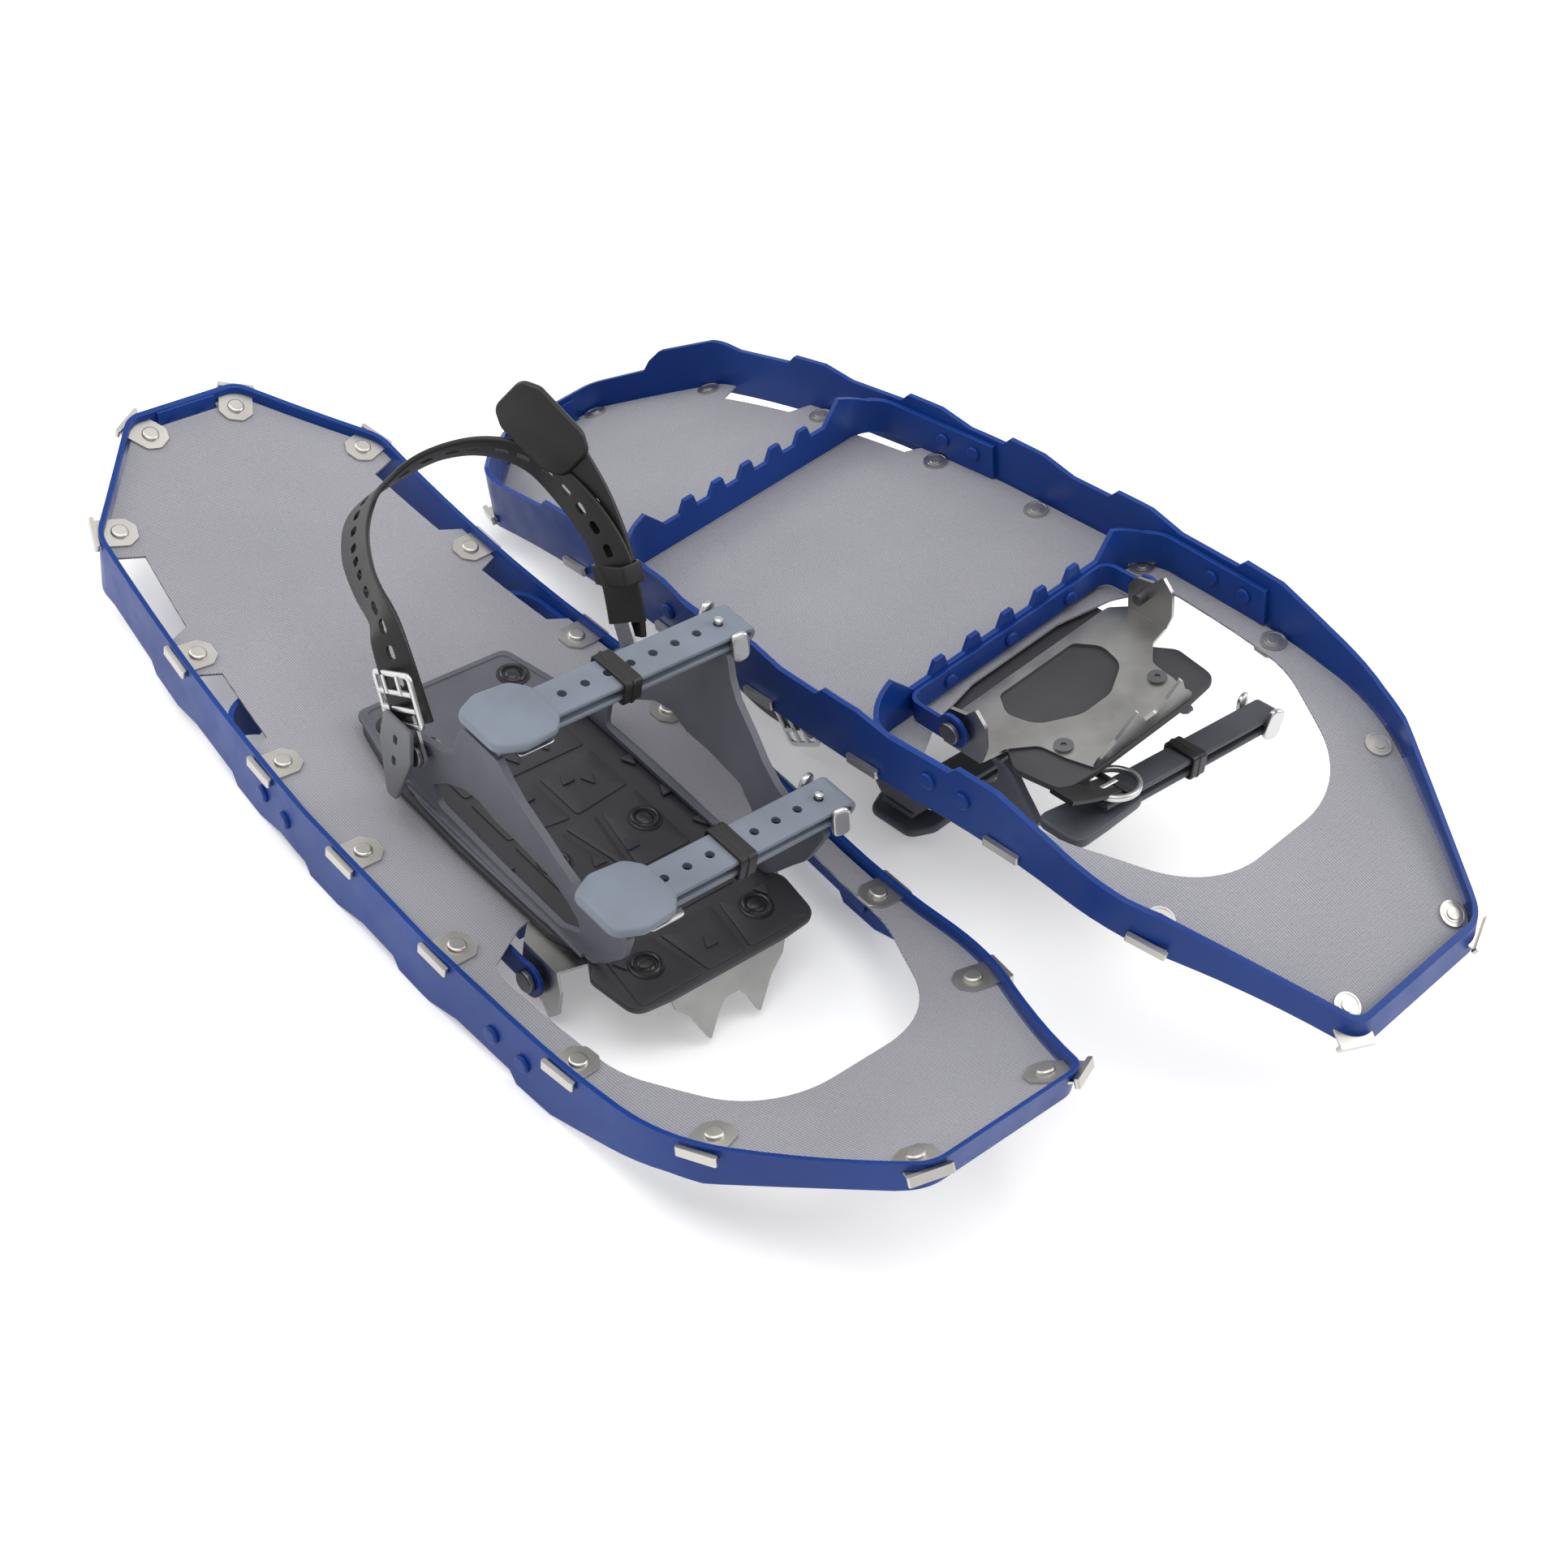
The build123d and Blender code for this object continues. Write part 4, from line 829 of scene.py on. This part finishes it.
def heel_tongue(side):
    """Pointed pull tongue with two holes, a rounded rim and a faintly crowned top."""
    corners = [(-23, 15), (-2, 15), (-1, -3), (-11, -33), (-18, -33), (-25, -3)]
    outline = [p * MM for p in rounded(corners, [3, 3, 9, 3.5, 3.5, 9])]
    tongue = plate("tongue", outline, -1.3 * MM, 1.1 * MM, TONGUE, soft=0.9 * MM, crown=0.3 * MM)
    holes = [punch(1.7 * MM, 2.4 * MM, Matrix.Translation(Vector((x, y, 0)) * MM)
                   @ Matrix.Rotation(pi / 2, 4, "Z")) for x, y in ((-12.5, 4), (-13, -9))]
    tongue = punched(tongue, holes)
    tongue.name = f"{side}_heel_tongue_look"
    return move(tongue, facing(Vector((69.2, 5, 3)) * MM, Vector((0, 1, 0)), Vector((1, 0, 0))))


def heel_buckle(side):
    """Ladder buckle: a steel frame across the strap with two crossbars and a prong."""
    ring = rounded([(15, 12.5), (-15, 12.5), (-15, -12.5), (15, -12.5)], 3, step=0.7)
    line = [Vector((p.x, p.y, 0)) * MM for p in ring]
    up = [Vector((0, 0, 1))]
    border = band("border", line, up * len(line), 3.0 * MM, 2.0 * MM, BRIGHT_STEEL, closed=True)
    bars = [band("bar", [Vector((x, y, 0.3)) * MM for x in (-14, -5, 5, 14)], up * 4, 2.8 * MM, 2.0 * MM,
                 BRIGHT_STEEL) for y in (3.5, -4.5)]
    prongs = [band("prong", [Vector((x, y, 1.2)) * MM for y in (3, 6, 9, 12)], up * 4, 2.2 * MM, 1.4 * MM,
                   BRIGHT_STEEL) for x in (-6, 6)]
    buckle = joined(f"{side}_heel_buckle_look", [border] + bars + prongs)
    across = Vector((0, cos(HEEL_RISE), sin(HEEL_RISE)))
    return move(buckle, facing(Vector((65.6, -13, 25)) * MM, across, Vector((1, 0, 0))))


def place_binding(side):
    """Build one shoe's binding pieces and hand each to its body."""
    lie = LIES[side]
    mirror = Matrix.Diagonal((lie["mirror"], 1, 1, 1))
    shoe = PLACES[side] @ mirror
    lugs = Matrix.Translation(Vector((0, LUG_Y, lie["lug_z"])))
    swung = shoe @ lugs @ Matrix.Rotation(lie["swing"], 4, "X")
    flat = [
        (harness(side), "harness", "binding", "harness_rubber"),
        (footbed(side), "footbed", "binding", "footbed_rubber"),
        (studs(side), "footbed_studs", "binding", "footbed_rubber"),
        (toe_strap(side, "rear"), "rear_toe_strap", "binding", "strap_rubber"),
        (toe_strap(side, "front"), "front_toe_strap", "binding", "strap_rubber"),
        (strap_hooks(side), "toe_strap_hooks", "binding", "bright_steel"),
        (keeper(side, "rear"), "rear_keeper", "rear_keeper", "heel_rubber"),
        (keeper(side, "front"), "front_keeper", "front_keeper", "heel_rubber"),
    ]
    heel = [
        (heel_strap(side), "heel_strap", "heel", "heel_rubber"),
        (heel_tail(side), "heel_strap_tail", "heel", "heel_rubber"),
        (heel_keeper(side), "heel_keeper", "heel", "heel_rubber"),
        (heel_tongue(side), "heel_tongue", "heel", "strap_rubber"),
        (heel_buckle(side), "heel_buckle", "heel", "bright_steel"),
    ]
    for pieces, place in ((flat, shoe), (heel, swung)):
        for piece, node, body, slot in pieces:
            move(piece, place)
            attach(piece, f"{side}_{body}")
            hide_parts(f"{side}_{node}")


# Stage

def make_floor():
    """A wide pale floor just under the part, faintly lit from within so that it reads as white."""
    shader = Shader("studio_floor", roughness=0.6, Specular_IOR_Level=0.1,
                    Emission_Color=(1.0, 1.0, 1.0, 1.0), Emission_Strength=0.24)
    tone = shader.ramp(shader.noise(3.0), [(0.3, (0.93, 0.93, 0.93)), (0.7, (0.95, 0.95, 0.95))])
    shader.link(tone, "Base Color")
    mesh = bpy.data.meshes.new("floor")
    half, level = 6.0, -0.5 * MM
    corners = [(-half, -half, level), (half, -half, level), (half, half, level), (-half, half, level)]
    mesh.from_pydata(corners, [], [(0, 1, 2, 3)])
    mesh.materials.append(shader.material)
    floor = bpy.data.objects.new("floor", mesh)
    bpy.context.scene.collection.objects.link(floor)


def add_softbox(name, place, target, size, power):
    """A rectangular area light facing a point."""
    light = bpy.data.lights.new(name, "AREA")
    light.shape = "RECTANGLE"
    light.size, light.size_y = size
    light.energy = power
    lamp = bpy.data.objects.new(name, light)
    lamp.location = place
    lamp.rotation_euler = (Vector(target) - Vector(place)).to_track_quat("-Z", "Y").to_euler()
    bpy.context.scene.collection.objects.link(lamp)


def light_studio():
    """An even white surround and three softboxes."""
    bpy.context.scene.view_settings.view_transform = "Standard"
    world = bpy.data.worlds.new("studio")
    world.use_nodes = True
    background = world.node_tree.nodes["Background"]
    background.inputs["Color"].default_value = (1.0, 1.0, 1.0, 1.0)
    background.inputs["Strength"].default_value = 0.75
    bpy.context.scene.world = world
    add_softbox("top_box", (0.2, -0.1, 1.7), (0, 0, 0), (1.6, 1.6), 16)
    add_softbox("key_box", (-1.3, 0.9, 1.2), (0, 0, 0.03), (0.9, 0.9), 12)
    add_softbox("rim_box", (0.6, -1.5, 0.9), (0, 0, 0.03), (1.2, 0.6), 8)


AZIMUTH, ELEVATION, ROLL = radians(131.04), radians(41.82), radians(10.57)
LENS, SENSOR = 53.96, 36.0
CAMERA_FROM_RIGHT_DECK = Vector((547.0, 636.0, 774.2)) * MM


def aim_camera():
    """Camera beside the right shoe's toe, looking back over the pair, rolled a little."""
    back = Vector((sin(AZIMUTH) * cos(ELEVATION), -cos(AZIMUTH) * cos(ELEVATION), sin(ELEVATION)))
    level = (-back).cross(Vector((0, 0, 1))).normalized()
    up = level.cross(-back)
    right = cos(ROLL) * level + sin(ROLL) * up
    upright = -sin(ROLL) * level + cos(ROLL) * up
    data = bpy.data.cameras.new("camera")
    data.lens = LENS
    data.sensor_width = SENSOR
    data.clip_start = 0.01
    camera = bpy.data.objects.new("camera", data)
    matrix = Matrix((right, upright, back)).transposed().to_4x4()
    matrix.translation = PLACES["right"].translation + CAMERA_FROM_RIGHT_DECK
    camera.matrix_world = matrix
    bpy.context.scene.collection.objects.link(camera)
    bpy.context.scene.camera = camera


aim_camera()
light_studio()
make_floor()
dress_cad()
for shoe_side in LIES:
    place_binding(shoe_side)

bpy.context.view_layer.update()
